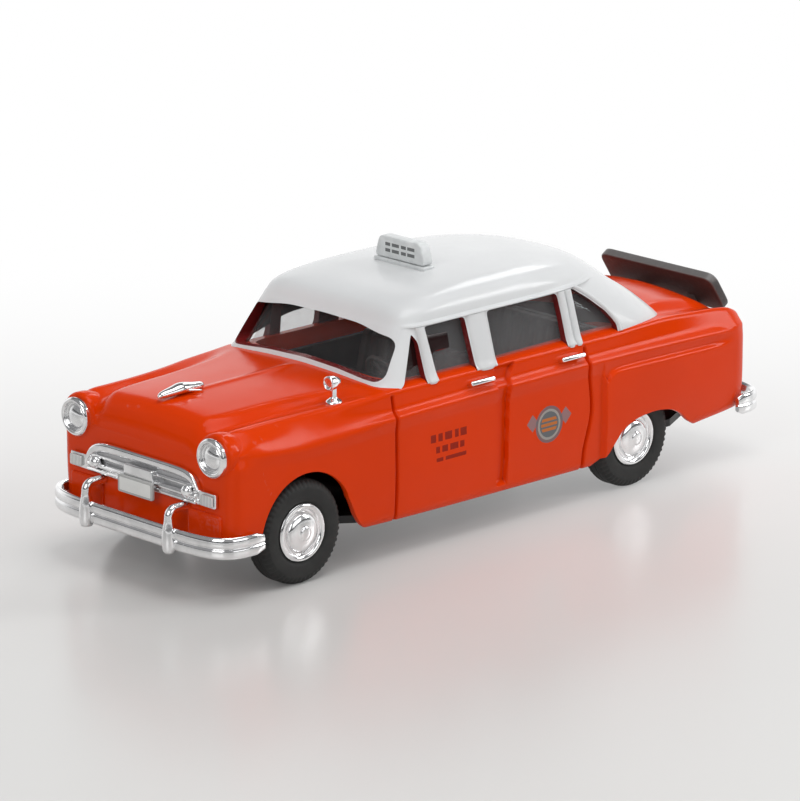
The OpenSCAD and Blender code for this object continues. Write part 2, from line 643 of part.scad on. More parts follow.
module cabin_tub() {
    x0 = rear_foot_x + 10.5;
    x1 = front_door_x - 2.6;
    color("dimgray") difference() {
        translate([x0, -tub_half_width, tub_z])
            cube([x1 - x0, tub_half_width * 2, belt_z - 1.6 - tub_z]);
        translate([x0 + tub_wall, tub_wall - tub_half_width, tub_z + tub_wall])
            cube([x1 - x0 - tub_wall * 2, (tub_half_width - tub_wall) * 2, 30]);
        // Room for the rear wheels
        across(rear_track_half - tyre_width - 0.6, rear_track_half + 1)
            translate([rear_axle_x, axle_z]) circle(tyre_r + 0.8);
    }
    // Ribs under the tub that stand on the base plate
    color("dimgray") for (x = [x0 + 18, x1 - 6], s = [-1, 1])
        translate([x, s * tub_half_width * 0.6 - 0.6, base_top_z + fit_room])
            cube([5, 1.2, tub_z - base_top_z]);
}

// A bench seat from its side outline, facing the front

module bench(x) {
    w = tub_half_width - tub_wall - 0.3;
    z = tub_z + tub_wall + fit_room;
    l = seat_length - 1.2;
    h = seat_height;
    translate([x, w, z]) rotate([90, 0, 0]) linear_extrude(w * 2)
        polygon([[0, 0], [l - 0.4, 0], [l, 0.6], [l, 3.6], [l - 0.6, 4.4], [2.9, 4.6], [1.1, h - 0.6],
            [0.6, h], [-0.7, h], [-1.2, h - 0.7], [-1, 2], [-0.6, 0]]);
}

module front_seat() color("saddlebrown") bench(-1.5);

module rear_seat() color("saddlebrown") bench(rear_foot_x + 14.5);

module dashboard() {
    x = front_door_x - 2.6 - tub_wall - fit_room;
    w = tub_half_width - tub_wall - 0.3;
    d = dash_depth;
    h = dash_height;
    color("dimgray") difference() {
        translate([x, w, belt_z - 0.6 - h]) rotate([90, 0, 0]) linear_extrude(w * 2)
            polygon([[0, 0], [0, h - 0.2], [-d * 0.55, h], [-d * 0.9, h - 0.7], [-d, h - 2],
                [-d * 0.65, h * 0.22], [-d * 0.3, 0]]);
        // Hole for the steering column
        steering_frame() cylinder(r = 0.5 + fit_room, h = 4.5);
    }
}

// Middle of the steering wheel, with the column forward and down
module steering_frame() {
    translate([front_door_x - 5.9 - dash_depth, tub_half_width * 0.52, belt_z - 1.7])
        rotate([0, 118, 0]) children();
}

module steering_wheel() {
    color("ivory") steering_frame() {
        rotate_extrude() translate([steering_r, 0]) circle(0.32, $fn = 20);
        translate([0, 0, -0.25]) cylinder(r = 0.7, h = 0.7);
        cylinder(r = 0.5, h = 4.2);
        for (a = [90, 210, 330]) rotate([0, 0, a]) translate([0.4, -0.22, -0.2])
            cube([steering_r - 0.5, 0.44, 0.4]);
    }
}

// Bumpers, each one blade bent round the corners of the body

// The ends reach round the body where the blade is wide enough to clear it
bumper_wraps = bumper_half_width - bumper_depth > W - 0.1;

function bumper_plan(end_x, face_x) = [for (k = [-18 : 18])
    let (t = k * 5, s = sin(t), c = cos(t), d = face_x - end_x)
    [end_x + d * pow(max(c, 0), 2 / 3.4), power(s, 2 / 4.6) * bumper_half_width]];

function blade_profile() = let (h = bumper_height / 2, d = bumper_depth)
    [[-d, -h * 0.8], [-d * 0.3, -h], [0, -h * 0.62], [0, -h * 0.05], [-d * 0.12, h * 0.1],
     [-d * 0.05, h * 0.3], [-d * 0.3, h], [-d, h * 0.85]];

module front_bumper() {
    end_x = bumper_wraps ? max(N - 5.2, front_axle_x + tyre_r + 0.8) : N + 0.4;
    back_x = N - 6.6;
    color("silver") {
        strip(bumper_plan(end_x, front_bumper_x), blade_profile(), bumper_z);
        // Irons under the nose, resting on the base plate
        for (s = [-1, 1]) translate([back_x, s * 6 - iron_width / 2, base_top_z + 0.01])
            cube([front_bumper_x - bumper_depth * 0.9 - back_x, iron_width, 0.8]);
    }
}

module rear_bumper() {
    end_x = bumper_wraps ? T + 4.6 : T - 0.4;
    face_x = rear_bumper_x + bumper_depth * 0.9;
    color("silver") {
        strip([for (p = bumper_plan(end_x, rear_bumper_x)) [p[0], -p[1]]], blade_profile(), bumper_z + 0.4);
        for (s = [-1, 1]) translate([face_x, s * 6 - iron_width / 2, base_top_z + 0.01])
            cube([T + 9 - face_x, iron_width, 0.8]);
    }
}

// Overriders with a tube that turns back to the nose

module front_bumper_guards() {
    face = front_bumper_x - 0.2;
    tube = guard_r * 0.55;
    bend = 1.1;
    // The tubes run back to the nose just under the grille
    top = grille_z - tube - 0.12 - bend;
    color("silver") for (s = [-1, 1]) translate([face, s * guard_y, 0]) {
        difference() {
            translate([0, 0, bumper_z - 2.3]) rotate_extrude()
                polygon([[0, 0], [guard_r * 0.7, 0.25], [guard_r, 1], [guard_r, 2.4],
                    [guard_r * 0.8, 4.2], [tube, 5], [0, 5]]);
            translate([-5, -5, bumper_z - 6]) cube([5.0 + 0.32, 10, 6 + bumper_height / 2 + 0.1]);
        }
        translate([0, 0, bumper_z + 2.1]) cylinder(r = tube, h = top - bumper_z - 2.1);
        translate([-bend, 0, top]) rotate([90, 0, 0]) rotate_extrude(angle = 90)
            translate([bend, 0]) circle(tube, $fn = 24);
        translate([-bend, 0, top + bend]) rotate([0, -90, 0])
            cylinder(r = tube, h = face - bend - nose_face(guard_y) - 0.1);
    }
}

// Nose surface ahead of the grille, as x at one half width

nose_face_points = [[0, N], [W - 2.5, N], [W - 1.85, N - 0.08], [W - 1.25, N - 0.32],
    [W - 0.9, N - 0.56], [W - 0.6, N - 0.86], [W - 0.18, N - 1.58]];

function nose_face(y) = curve(abs(y), nose_face_points);

// Arched outline of the grille's top edge
function grille_top(y) = grille_height * sqrt(max(0, 1 - pow(abs(y) / (grille_half_width + 0.4), 8)));

// A straight bar across the nose with a soft front edge
module grille_bar(half, z, height, depth) {
    hull() for (q = [[0.2, 0], [depth * 0.7, 0], [depth, height * 0.28]])
        translate([N + q[0] - 0.05, -half, z - height / 2 + q[1]]) cube([0.05, half * 2, height - q[1] * 2]);
}

module grille() {
    n = 13;
    w = grille_half_width;
    d = grille_bar_depth;
    color("silver") {
        // Panel behind the bars, and the arched surround
        loft([for (k = [-n : n])
            let (y = k * (w - 0.2) / n, x = nose_face(y) + fit_room, t = grille_z + grille_top(y))
            [[x, y, t - 0.3], [x + 0.35, y, t - 0.3], [x + 0.35, y, grille_z + 0.1], [x, y, grille_z + 0.1]]]);
        loft([for (k = [-n : n])
            let (y = k * w / n, x = nose_face(y) + fit_room + 0.1, t = grille_z + grille_top(y))
            [[x, y, t], [x + 0.45, y, t], [x + 0.8, y, t - 0.45],
             [x + 0.75, y, t - 1.3], [x + 0.15, y, t - 1.6]]]);
        // A thin upper bar over a broad lower one with two ridges
        grille_bar(w - 0.9, grille_z + grille_height * 0.52, 0.6, d * 0.65);
        for (z = [0.5, 1.35]) grille_bar(w - 0.3, grille_z + z, 0.95, d);
        // Box in the middle, and a bullet at each end of the lower bar
        hull() for (q = [[0.3, 0], [d + 0.4, 0.25]])
            translate([N + q[0] - 0.05, q[1] - grille_box_width / 2, grille_z + 0.5 + q[1]])
                cube([0.05, grille_box_width - q[1] * 2, grille_height * 0.55 - q[1] * 2]);
        for (s = [-1, 1]) translate([N + d * 0.6, s * w * 0.82, grille_z + 1.75]) rotate([0, 90, 0])
            hull() {
                cylinder(r = 0.95, h = 0.45, $fn = 20);
                cylinder(r = 0.55, h = 0.95, $fn = 20);
            }
        // Wings that carry the side lamps
        for (s = [-1, 1]) wing_strip(s, w - 1.4, w + 3.7, fit_room + 0.04, 0.66, 0.2, 2.4);
        // Collars round the wings' inner ends
        for (s = [-1, 1]) hull() for (q = [[0.7, 0.3], [0.95, 0.5]])
            translate([N + 0.15, s * (w - 0.55) - 0.3, grille_z + q[1]]) cube([q[0], 0.6, 2.3 - q[1] * 2]);
    }
}

// A strip on the nose beside the grille, from one half width to another
module wing_strip(s, y0, y1, off, depth, z0, z1) {
    ys = [for (k = [0 : 6]) s > 0 ? y0 + (y1 - y0) * k / 6 : -y1 + (y1 - y0) * k / 6];
    loft([for (y = ys) let (x = nose_face(y) + off)
        [[x, y, grille_z + z1], [x + depth, y, grille_z + z1],
         [x + depth, y, grille_z + z0], [x, y, grille_z + z0]]]);
}

module grille_side_lamps() {
    w = grille_half_width;
    color("whitesmoke") for (s = [-1, 1]) wing_strip(s, w + 0.8, w + 3.4, fit_room * 2 + 0.7, 0.4, 0.4, 2.1);
}

module number_plate() {
    color("whitesmoke") translate([N + grille_bar_depth + 0.45, -plate_width / 2, grille_z - 1])
        cube([0.5, plate_width, plate_height]);
}

// Headlamps: a turned rim in a socket, with a domed lens

lamp_back_x = N - 3.35;
lamp_length = 4.35;

module headlamp_rim() {
    r = headlamp_r;
    l = lamp_length;
    color("silver") translate([lamp_back_x, headlamp_y, headlamp_z]) rotate([0, 90, 0])
        rotate_extrude()
            polygon([[0, 0], [r, 0], [r, l - 0.5], [r - 0.35, l], [r - 0.7, l], [r - 0.8, l - 0.6],
                [0, l - 0.6]]);
}

module headlamp_rim_left() headlamp_rim();

module headlamp_rim_right() mirror([0, 1, 0]) headlamp_rim();

module headlamp_lens() {
    r = headlamp_r - 0.85;
    color("whitesmoke") translate([lamp_back_x + lamp_length - 0.58, headlamp_y, headlamp_z])
        rotate([0, 90, 0]) rotate_extrude()
            polygon([[0, 0], [r, 0], [r, 0.3], [r * 0.75, 0.62], [r * 0.4, 0.82], [0, 0.9]]);
}

module headlamp_lens_left() headlamp_lens();

module headlamp_lens_right() mirror([0, 1, 0]) headlamp_lens();

module tail_lamp() {
    r = tail_lamp_r;
    color("firebrick") translate([T + 1.35, W - tail_lamp_in, belt_z - 5.6]) rotate([0, -90, 0])
        rotate_extrude()
            polygon([[0, 0], [r, 0], [r, 1.1], [r * 0.8, 1.5], [r * 0.4, 1.7], [0, 1.75]]);
}

module tail_lamp_left() tail_lamp();

module tail_lamp_right() mirror([0, 1, 0]) tail_lamp();

// Small plated trim

module hood_ornament() {
    x = N - 7.1;
    z = crown_z(x) + 0.05;
    color("silver") translate([x, 0, z]) {
        hull() {
            translate([4.2, 0, 0.35]) sphere(0.3, $fn = 10);
            translate([0, 0, 0.62]) scale([1, 1, 0.8]) sphere(0.75, $fn = 12);
            translate([-4, 0, 0.5]) sphere(0.35, $fn = 10);
        }
        for (s = [-1, 1]) hull() {
            translate([0.6, 0, 0.6]) sphere(0.35, $fn = 8);
            translate([-2.2, s * 1.9, 0.5]) sphere(0.22, $fn = 8);
        }
    }
}

module spot_lamp() {
    x = 31.4;
    y = valley_y(x) + 1.2;
    r = 0.95;
    z = fit_room + max([for (i = [-1, 0, 1], j = [-1, 0, 1]) deck_z(x + i * r, y + j * r)]);
    color("silver") translate([x, y, z]) {
        cylinder(r1 = r, r2 = 0.5, h = 0.5);
        cylinder(r = 0.4, h = 3);
        translate([0, 0, 2.9]) rotate([0, 90, 0]) translate([0, 0, -1.2]) rotate_extrude()
            polygon([[0, 0], [0.35, 0.05], [0.7, 0.5], [1.05, 1.3], [1.1, 2.2], [0.95, 2.4], [0, 2.4]]);
    }
}

module door_handles() {
    color("silver") both_sides() for (x = [door_post_x + 3.8, rear_door_x + 3.7])
        translate([x, groove_y(x, belt_z - 2.2) + 0.1, belt_z - 2.25]) rotate([24, 0, 0]) {
            translate([-handle_length / 2, 0.25, -0.35]) cube([handle_length, 0.45, 0.7]);
            for (s = [-1, 1]) translate([s * (handle_length / 2 - 0.5) - 0.35, -0.05, -0.25])
                cube([0.7, 0.4, 0.5]);
        }
}

module roof_sign() {
    z = roof_z + 0.03;
    h = sign_height;
    color("white") translate([sign_x, 0, z]) {
        translate([0, sign_length / 2, 0]) rotate([90, 0, 0]) linear_extrude(sign_length)
            polygon([[-1.6, 0], [1.6, 0], [1.6, 0.3], [1.3, 0.6], [-1.3, 0.6], [-1.6, 0.3]]);
        // Panel, narrower at the top, over a low foot
        rotate([90, 0, 90]) translate([0, 0, -1]) linear_extrude(2)
            polygon([[-sign_length * 0.48, 0.4], [sign_length * 0.48, 0.4], [sign_length * 0.42, h - 0.3],
                [sign_length * 0.39, h], [-sign_length * 0.39, h], [-sign_length * 0.42, h - 0.3]]);
    }
}

// Board over the boot lid, leaning towards the cab on two brackets

board_x = T + 3.1;
board_z = belt_z + 2;

module board_frame() translate([board_x, 0, board_z]) rotate([0, board_lean, 0]) children();

module boot_board() {
    color("dimgray") board_frame() rotate([90, 0, -90]) linear_extrude(board_depth)
        hull() for (s = [-1, 1], t = [-1.6, 1.6 - board_height])
            translate([s * (board_width / 2 - 1.6), t]) circle(1.6, $fn = 32);
}

// Front face of the board at one height
function board_face_x(z) = board_x - (board_z - z) * tan(board_lean);

// Struts from the tail to the lower edge of the board
module boot_board_brackets() {
    low = board_z - board_height * cos(board_lean);
    pad = crown_z(T) - 2.6;
    color("dimgray") for (s = [-1, 1]) translate([0, s * 6 + 0.7, 0]) rotate([90, 0, 0])
        linear_extrude(1.4) polygon([[T - fit_room, pad], [T - fit_room, pad + 2],
            [board_face_x(low + 2) + fit_room, low + 2], [board_face_x(low + 0.4) + fit_room, low + 0.4]]);
}

// Wheels

module wheel_disc() {
    // Plated disc with a stepped rim and a domed cap
    rotate([-90, 0, 0]) difference() {
        rotate_extrude() polygon([[0, 0.2], [axle_r + 1, 0.2], [axle_r + 1, tyre_width * 0.5],
            [rim_r, tyre_width * 0.5], [rim_r, tyre_width - 0.25], [rim_r - 0.3, tyre_width + 0.02],
            [rim_r - 0.8, tyre_width - 0.05], [rim_r - 1.1, tyre_width - 0.6],
            [rim_r - 1.45, tyre_width - 0.6], [rim_r - 1.6, tyre_width - 0.15],
            [rim_r - 2.2, tyre_width + 0.2], [rim_r - 3.4, tyre_width + 0.45],
            [rim_r - 3.6, tyre_width + 0.65], [0, tyre_width + 0.7]]);
        translate([0, 0, -1]) cylinder(r = axle_r, h = 1 + tyre_width - 1.4);
    }
}

module tyre() {
    e = 0.9;
    rotate([-90, 0, 0]) rotate_extrude()
        polygon([[rim_r + fit_room, tyre_width * 0.5 + 0.05], [rim_r + fit_room, tyre_width - 0.35],
            [rim_r + 0.5, tyre_width - 0.05], [tyre_r - 1.7, tyre_width], [tyre_r - 0.9, tyre_width - 0.1],
            [tyre_r - 0.25, tyre_width - e * 0.6], [tyre_r, tyre_width - e * 1.1],
            [tyre_r, e * 1.1], [tyre_r - 0.25, e * 0.6], [tyre_r - 0.9, 0.1], [tyre_r - 1.7, 0],
            [axle_r + 1 + fit_room, 0.2], [axle_r + 1 + fit_room, tyre_width * 0.5 - 0.05],
            [rim_r, tyre_width * 0.5 - 0.05]]);
}

module wheel_at(x, track_half, left) {
    mirror([0, left ? 0 : 1, 0]) translate([x, track_half - tyre_width, axle_z]) children();
}

module axle(x, track_half) {
    half = track_half - 1.45;
    color("gray") translate([x, half, axle_z]) rotate([90, 0, 0]) cylinder(r = axle_r, h = half * 2);
}

module front_axle() axle(front_axle_x, front_track_half);

module rear_axle() axle(rear_axle_x, rear_track_half);

module front_wheel_left() color("silver") wheel_at(front_axle_x, front_track_half, true) wheel_disc();

module front_wheel_right() color("silver") wheel_at(front_axle_x, front_track_half, false) wheel_disc();

module rear_wheel_left() color("silver") wheel_at(rear_axle_x, rear_track_half, true) wheel_disc();

module rear_wheel_right() color("silver") wheel_at(rear_axle_x, rear_track_half, false) wheel_disc();

module front_tyre_left() color("black") wheel_at(front_axle_x, front_track_half, true) tyre();

module front_tyre_right() color("black") wheel_at(front_axle_x, front_track_half, false) tyre();

module rear_tyre_left() color("black") wheel_at(rear_axle_x, rear_track_half, true) tyre();

module rear_tyre_right() color("black") wheel_at(rear_axle_x, rear_track_half, false) tyre();

body_shell();
roof_shell();
glazing();
base_plate();
cabin_tub();
front_seat();
rear_seat();
dashboard();
steering_wheel();
front_bumper();
front_bumper_guards();
rear_bumper();
grille();
grille_side_lamps();
number_plate();
headlamp_rim_left();
headlamp_rim_right();
headlamp_lens_left();
headlamp_lens_right();
tail_lamp_left();
tail_lamp_right();
hood_ornament();
spot_lamp();
door_handles();
roof_sign();
boot_board();
boot_board_brackets();
base_screws();
front_axle();
front_wheel_left();
front_wheel_right();
front_tyre_left();
front_tyre_right();
rear_axle();
rear_wheel_left();
rear_wheel_right();
rear_tyre_left();
rear_tyre_right();
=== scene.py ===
# Looks of the toy taxi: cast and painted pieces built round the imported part, in its frame.
# Lengths are in millimetres until a piece is finished, then in metres.
from math import ceil, copysign, cos, dist, hypot, pi, radians, sin, sqrt

import bmesh
import bpy
from mathutils import Matrix, Vector


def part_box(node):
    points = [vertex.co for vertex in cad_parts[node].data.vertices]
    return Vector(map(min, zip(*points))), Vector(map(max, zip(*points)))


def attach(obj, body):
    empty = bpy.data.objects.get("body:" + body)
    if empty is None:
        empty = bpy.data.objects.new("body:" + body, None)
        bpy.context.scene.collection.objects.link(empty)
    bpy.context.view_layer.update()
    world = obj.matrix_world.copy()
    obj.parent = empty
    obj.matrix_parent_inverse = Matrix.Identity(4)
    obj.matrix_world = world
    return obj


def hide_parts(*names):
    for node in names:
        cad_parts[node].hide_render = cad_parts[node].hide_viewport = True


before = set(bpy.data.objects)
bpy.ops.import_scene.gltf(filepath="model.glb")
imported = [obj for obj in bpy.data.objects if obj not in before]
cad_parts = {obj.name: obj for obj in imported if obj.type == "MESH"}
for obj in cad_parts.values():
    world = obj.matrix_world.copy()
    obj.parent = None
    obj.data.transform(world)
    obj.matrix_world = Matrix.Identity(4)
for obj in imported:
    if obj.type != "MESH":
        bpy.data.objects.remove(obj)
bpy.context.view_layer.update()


# ---------------- base plate and screws
# A dark moulded plate closes the underside and carries the axles in bored blocks.
# It keeps its built form, with its edges broken; two screws hold it to posts in the body.
class Value:
    """A socket in a material: arithmetic on it adds math nodes, add() adds any other node."""

    def __init__(self, tree, socket=None):
        self.tree, self.socket = tree, socket

    def add(self, kind, sockets=None, settings=None, out=0):
        made = self.tree.nodes.new("ShaderNode" + kind)
        for key, value in (settings or {}).items():
            setattr(made, key, value)
        for key, value in (sockets or {}).items():
            if isinstance(value, Value):
                self.tree.links.new(value.socket, made.inputs[key])
            else:
                made.inputs[key].default_value = value
        return Value(self.tree, made.outputs[out]) if made.outputs else None

    def math(self, operation, a, b=0.0):
        return self.add("Math", {0: a, 1: b}, {"operation": operation})

    def __add__(self, other): return self.math("ADD", self, other)
    def __sub__(self, other): return self.math("SUBTRACT", self, other)
    def __mul__(self, other): return self.math("MULTIPLY", self, other)
    def __gt__(self, other): return self.math("GREATER_THAN", self, other)
    def __lt__(self, other): return self.math("LESS_THAN", self, other)
    def __abs__(self): return self.math("ABSOLUTE", self)

    def ramp(self, low, high, bottom=0.0, top=1.0):
        """Smooth step of this value from low to high."""
        return self.add("MapRange", {0: self, 1: low, 2: high, 3: bottom, 4: top},
                        {"interpolation_type": "SMOOTHSTEP"})

    def mix(self, first, second):
        """Colour from first to second as this value goes from 0 to 1."""
        return self.add("Mix", {0: self, 6: first, 7: second}, {"data_type": "RGBA"}, 2)

    def noise(self, scale, detail=3.0, rough=0.5):
        """Noise over this vector, in features per millimetre."""
        return self.add("TexNoise", {"Vector": self, "Scale": scale, "Detail": detail, "Roughness": rough})

    def bump(self, strength, depth):
        """Normal of a surface with this value as relief, depth metres deep."""
        return self.add("Bump", {"Height": self, "Strength": strength, "Distance": depth})

    def parts(self):
        """The x, y and z of this vector."""
        split = self.add("SeparateXYZ", {0: self}).socket.node
        return [Value(self.tree, socket) for socket in split.outputs]


def material(name):
    """A new material, a value to start from and the place in millimetres."""
    made = bpy.data.materials.new(name)
    made.use_nodes = True
    made.node_tree.nodes.clear()
    start = Value(made.node_tree)
    place = start.add("VectorMath", {0: start.add("TexCoord", out="Object"), "Scale": 1000.0},
                      {"operation": "SCALE"})
    return made, start, place


def surface(start, sockets):
    start.add("OutputMaterial", {"Surface": start.add("BsdfPrincipled", sockets)})


def shaded(colour, factor, lift=0.0):
    """The same colour, brighter or darker."""
    return tuple(c * factor + lift for c in colour[:3]) + (1,)


def plastic(name, dark, light, grain=1.6, rough=0.6):
    """Moulded plastic with a fine spark-eroded grain and rubbed patches."""
    made, start, place = material(name)
    fine = place.noise(grain * 3, 2)
    rub = place.noise(0.12, 3).ramp(0.35, 0.7)
    surface(start, {"Base Color": (rub * 0.7 + fine * 0.3).mix(dark, light),
                    "Roughness": rub * -0.15 + rough, "Normal": fine.bump(0.25, 0.00008)})
    return made


def steel(name):
    """Drawn bright steel with fine lines round it."""
    made, start, place = material(name)
    lines = place.noise(2.4, 4, 0.7)
    surface(start, {"Base Color": lines.mix((0.36, 0.36, 0.37, 1), (0.6, 0.6, 0.61, 1)), "Metallic": 1.0,
                    "Roughness": lines.ramp(0.3, 0.7, 0.25, 0.45)})
    return made


def keep(node, look, edge=0.0):
    """Shows a built node as it is, with its edges broken by edge millimetres."""
    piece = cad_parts[node]
    piece.data.materials.clear()
    piece.data.materials.append(look)
    if edge:
        bevel = piece.modifiers.new("broken_edges", "BEVEL")
        bevel.width, bevel.segments, bevel.limit_method = edge * 0.001, 2, "ANGLE"
        bevel.angle_limit = radians(40)
    for polygon in piece.data.polygons:
        polygon.use_smooth = True
    piece.data.set_sharp_from_angle(angle=radians(35))


base_look = plastic("base_plastic", (0.012, 0.012, 0.012, 1), (0.03, 0.03, 0.031, 1))
steel_look = steel("bright_steel")
keep("base_plate", base_look, 0.12)
keep("base_screws", steel_look, 0.1)
keep("front_axle", steel_look)
keep("rear_axle", steel_look)


# ---------------- wheels and tyres
# Each wheel is a plated disc, pressed and domed, with a rolled outer ring.
# The tyre is one soft black ring stretched over it, with a ribbed tread and short bars on its shoulder.
def put(name, data):
    """A new object in the scene."""
    made = bpy.data.objects.new(name, data)
    bpy.context.scene.collection.objects.link(made)
    return made


def turns(n):
    """The angles of n even steps round a circle."""
    return [2 * pi * k / n for k in range(n)]


class Shape:
    """A mesh under construction, as points, faces and a material number for each face."""

    def __init__(self):
        self.points, self.faces, self.looks = [], [], []

    def skin(self, rows, ring=True, caps=True, look=0):
        """Quads over rows of points; each row is a ring or an open line."""
        start, n, m = len(self.points), len(rows[0]), len(rows)
        for row in rows:
            self.points += [tuple(p) for p in row]
        faces = []
        for i in range(m - 1):
            for j in range(n if ring else n - 1):
                a, b, k = start + i * n, start + (i + 1) * n, (j + 1) % n
                faces.append((a + j, a + k, b + k, b + j))
        if caps and ring:
            faces.append(tuple(start + j for j in range(n - 1, -1, -1)))
            faces.append(tuple(start + (m - 1) * n + j for j in range(n)))
        self.faces += faces
        self.looks += [look] * len(faces)

    def turn(self, points, steps, at, axis, n, shift=None):
        """A turned form through (radius, along) points; shift(row, step) adds to the radius."""
        axis = Vector(axis).normalized()
        side = axis.orthogonal().normalized()
        up = axis.cross(side)
        rows = []
        for i, (radius, along) in enumerate(smooth_line(points, steps)):
            row = []
            for k, t in enumerate(turns(n)):
                r = radius + (shift(i, k) if shift else 0.0)
                row.append(Vector(at) + axis * along + (side * cos(t) + up * sin(t)) * r)
            rows.append(row)
        self.skin(rows, True, False)

    def plate(self, outline, matrix, depth, edge, look=0):
        """A slab from a flat outline, with edge millimetres rounded off all round."""
        n = len(outline)
        out = []
        for i in range(n):
            ax, ay = outline[i - 1]
            bx, by = outline[(i + 1) % n]
            length = hypot(bx - ax, by - ay) or 1.0
            out.append(((by - ay) / length, (ax - bx) / length))
        rows = [(inset * edge, w * edge) for inset, w in ((1, 0), (0.35, 0.12), (0.08, 0.45), (0, 1))]
        rows += [(inset, depth - w) for inset, w in reversed(rows)]
        self.skin([[matrix @ Vector((x - o[0] * inset, y - o[1] * inset, w)) for (x, y), o in zip(outline, out)]
                   for inset, w in rows], True, True, look)

    def mesh(self, name, merge=0.0):
        """The mesh in metres, its faces turned outwards and points nearer than merge joined."""
        mesh = bpy.data.meshes.new(name)
        mesh.from_pydata([(x * 0.001, y * 0.001, z * 0.001) for x, y, z in self.points], [], self.faces)
        work = bmesh.new()
        work.from_mesh(mesh)
        for face, look in zip(work.faces, self.looks):
            face.material_index = look
            face.smooth = True
        if merge:
            bmesh.ops.remove_doubles(work, verts=work.verts, dist=merge)
        bmesh.ops.recalc_face_normals(work, faces=work.faces)
        work.to_mesh(mesh)
        work.free()
        return mesh

    def finish(self, name, body, slot, nodes, looks, sharp=38):
        """The finished piece, on its body and in place of the built nodes; slot is not used."""
        mesh = self.mesh(name, 2e-6)
        for look in looks:
            mesh.materials.append(look)
        mesh.set_sharp_from_angle(angle=radians(sharp))
        piece = put(name, mesh)
        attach(piece, body)
        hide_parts(*nodes)
        return piece


def smooth_line(points, steps=5):
    """A soft line through points, by a Catmull-Rom spline."""
    p = [points[0]] + list(points) + [points[-1]]
    line = []
    for i in range(1, len(p) - 2):
        for k in range(steps):
            t = k / steps
            line.append(tuple(0.5 * (2 * b + (c - a) * t + (2 * a - 5 * b + 4 * c - d) * t * t
                                     + (3 * b - a - 3 * c + d) * t ** 3)
                              for a, b, c, d in zip(p[i - 1], p[i], p[i + 1], p[i + 2])))
    return line + [tuple(points[-1])]


def plating(name, rough=0.07):
    """Bright vacuum plating: clouded here and there, with pits."""
    made, start, place = material(name)
    cloud = place.noise(0.35, 4, 0.6)
    pit = place.noise(5.0, 2).ramp(0.66, 0.74)
    surface(start, {"Base Color": cloud.ramp(0.3, 0.7).mix((0.78, 0.78, 0.785, 1), (0.92, 0.92, 0.925, 1)),
                    "Metallic": 1.0, "Roughness": cloud.ramp(0.35, 0.75, rough, rough + 0.1) + pit * 0.15,
                    "Normal": (place.noise(1.1, 3) - pit * 0.4).bump(0.16, 0.00006)})
    return made


def rubber(name):
    """Soft black tyre compound with a dusty bloom on the side and a worn tread."""
    made, start, place = material(name)
    bloom = place.noise(0.5, 4, 0.6)
    fine = place.noise(7.0, 2)
    surface(start, {"Base Color": bloom.ramp(0.3, 0.75).mix((0.007, 0.007, 0.0066, 1), (0.019, 0.019, 0.0175, 1)),
                    "Roughness": bloom * 0.2 + 0.55, "Normal": fine.bump(0.3, 0.00006)})
    return made


chrome = plating("plated_trim")
tyre_look = rubber("tyre_rubber")
SIDEWALL, TREAD_BAR = 3.5, 0.2
SHOULDERS = {*range(13, 20), *range(50, 57)}  # rows of the profile with bars
for where in ("front", "rear"):
    for side, sign in (("left", 1), ("right", -1)):
        low, high = (Vector(c) * 1000 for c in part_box(f"{where}_tyre_{side}"))
        centre = (low + high) / 2
        inner = Vector((centre.x, sign * min(abs(low.y), abs(high.y)), centre.z))
        axis, wide, r = (0, sign, 0), high.y - low.y, (high.z - low.z) / 2
        rim = r - SIDEWALL
        tyre = Shape()
        tyre.turn([(rim - 0.4, 0.35), (rim + 0.5, 0.12), (r - 1.9, 0.0), (r - 0.9, 0.12), (r - 0.25, 0.55),
                   (r, 1.05), (r, 1.5), (r - 0.14, 1.62), (r, 1.74), (r, 2.62), (r - 0.14, 2.74), (r, 2.86),
                   (r, wide - 1.05), (r - 0.25, wide - 0.52), (r - 0.9, wide - 0.08), (r - 1.7, wide),
                   (rim + 0.6, wide - 0.1), (rim + 0.12, wide - 0.4), (rim - 0.3, wide - 0.8)], 4, inner, axis, 216,
                  shift=lambda row, step: -TREAD_BAR if row in SHOULDERS and step % 4 < 2 else 0.0)
        tyre.finish(f"tyre_{where}_{side}", f"{where}_wheels", "tyre", [f"{where}_tyre_{side}"], [tyre_look], 60)
        disc = Shape()
        disc.turn([(1.2, 0.6), (rim - 0.3, 0.9), (rim - 0.02, wide - 0.6), (rim - 0.12, wide - 0.1),
                   (rim - 0.42, wide + 0.06), (rim - 0.78, wide - 0.06), (rim - 0.98, wide - 0.34),
                   (rim - 1.12, wide - 0.62), (rim - 1.42, wide - 0.62), (rim - 1.55, wide - 0.3),
                   (rim - 1.72, wide - 0.02), (rim - 2.2, wide + 0.24), (rim - 2.8, wide + 0.38),
                   (rim - 3.36, wide + 0.45), (rim - 3.5, wide + 0.56), (rim - 3.72, wide + 0.66),
                   (rim - 4.1, wide + 0.7), (0.0, wide + 0.7)], 4, inner, axis, 96)
        disc.finish(f"wheel_disc_{where}_{side}", f"{where}_wheels", "plated_trim",
                    [f"{where}_wheel_{side}"], [chrome], 70)


# ---------------- cabin
# A dark tub with two bench seats, a dashboard and a steering wheel, moulded in charcoal plastic.
# They drop into the shell from below; the benches have pressed pleats.
def pleated(name):
    """Dark seat moulding with soft pleats across the car, painted darker in their troughs as shade."""
    made, start, place = material(name)
    pleat = start.math("SINE", place.parts()[1] * 2.6)
    surface(start, {"Base Color": pleat.ramp(-1.0, 0.2).mix((0.02, 0.015, 0.014, 1), (0.05, 0.04, 0.038, 1)),
                    "Roughness": place.noise(1.0).ramp(0.3, 0.7, 0.5, 0.7),
                    "Normal": (pleat * 0.5 + place.noise(4.0) * 0.4).bump(0.5, 0.0002)})
    return made


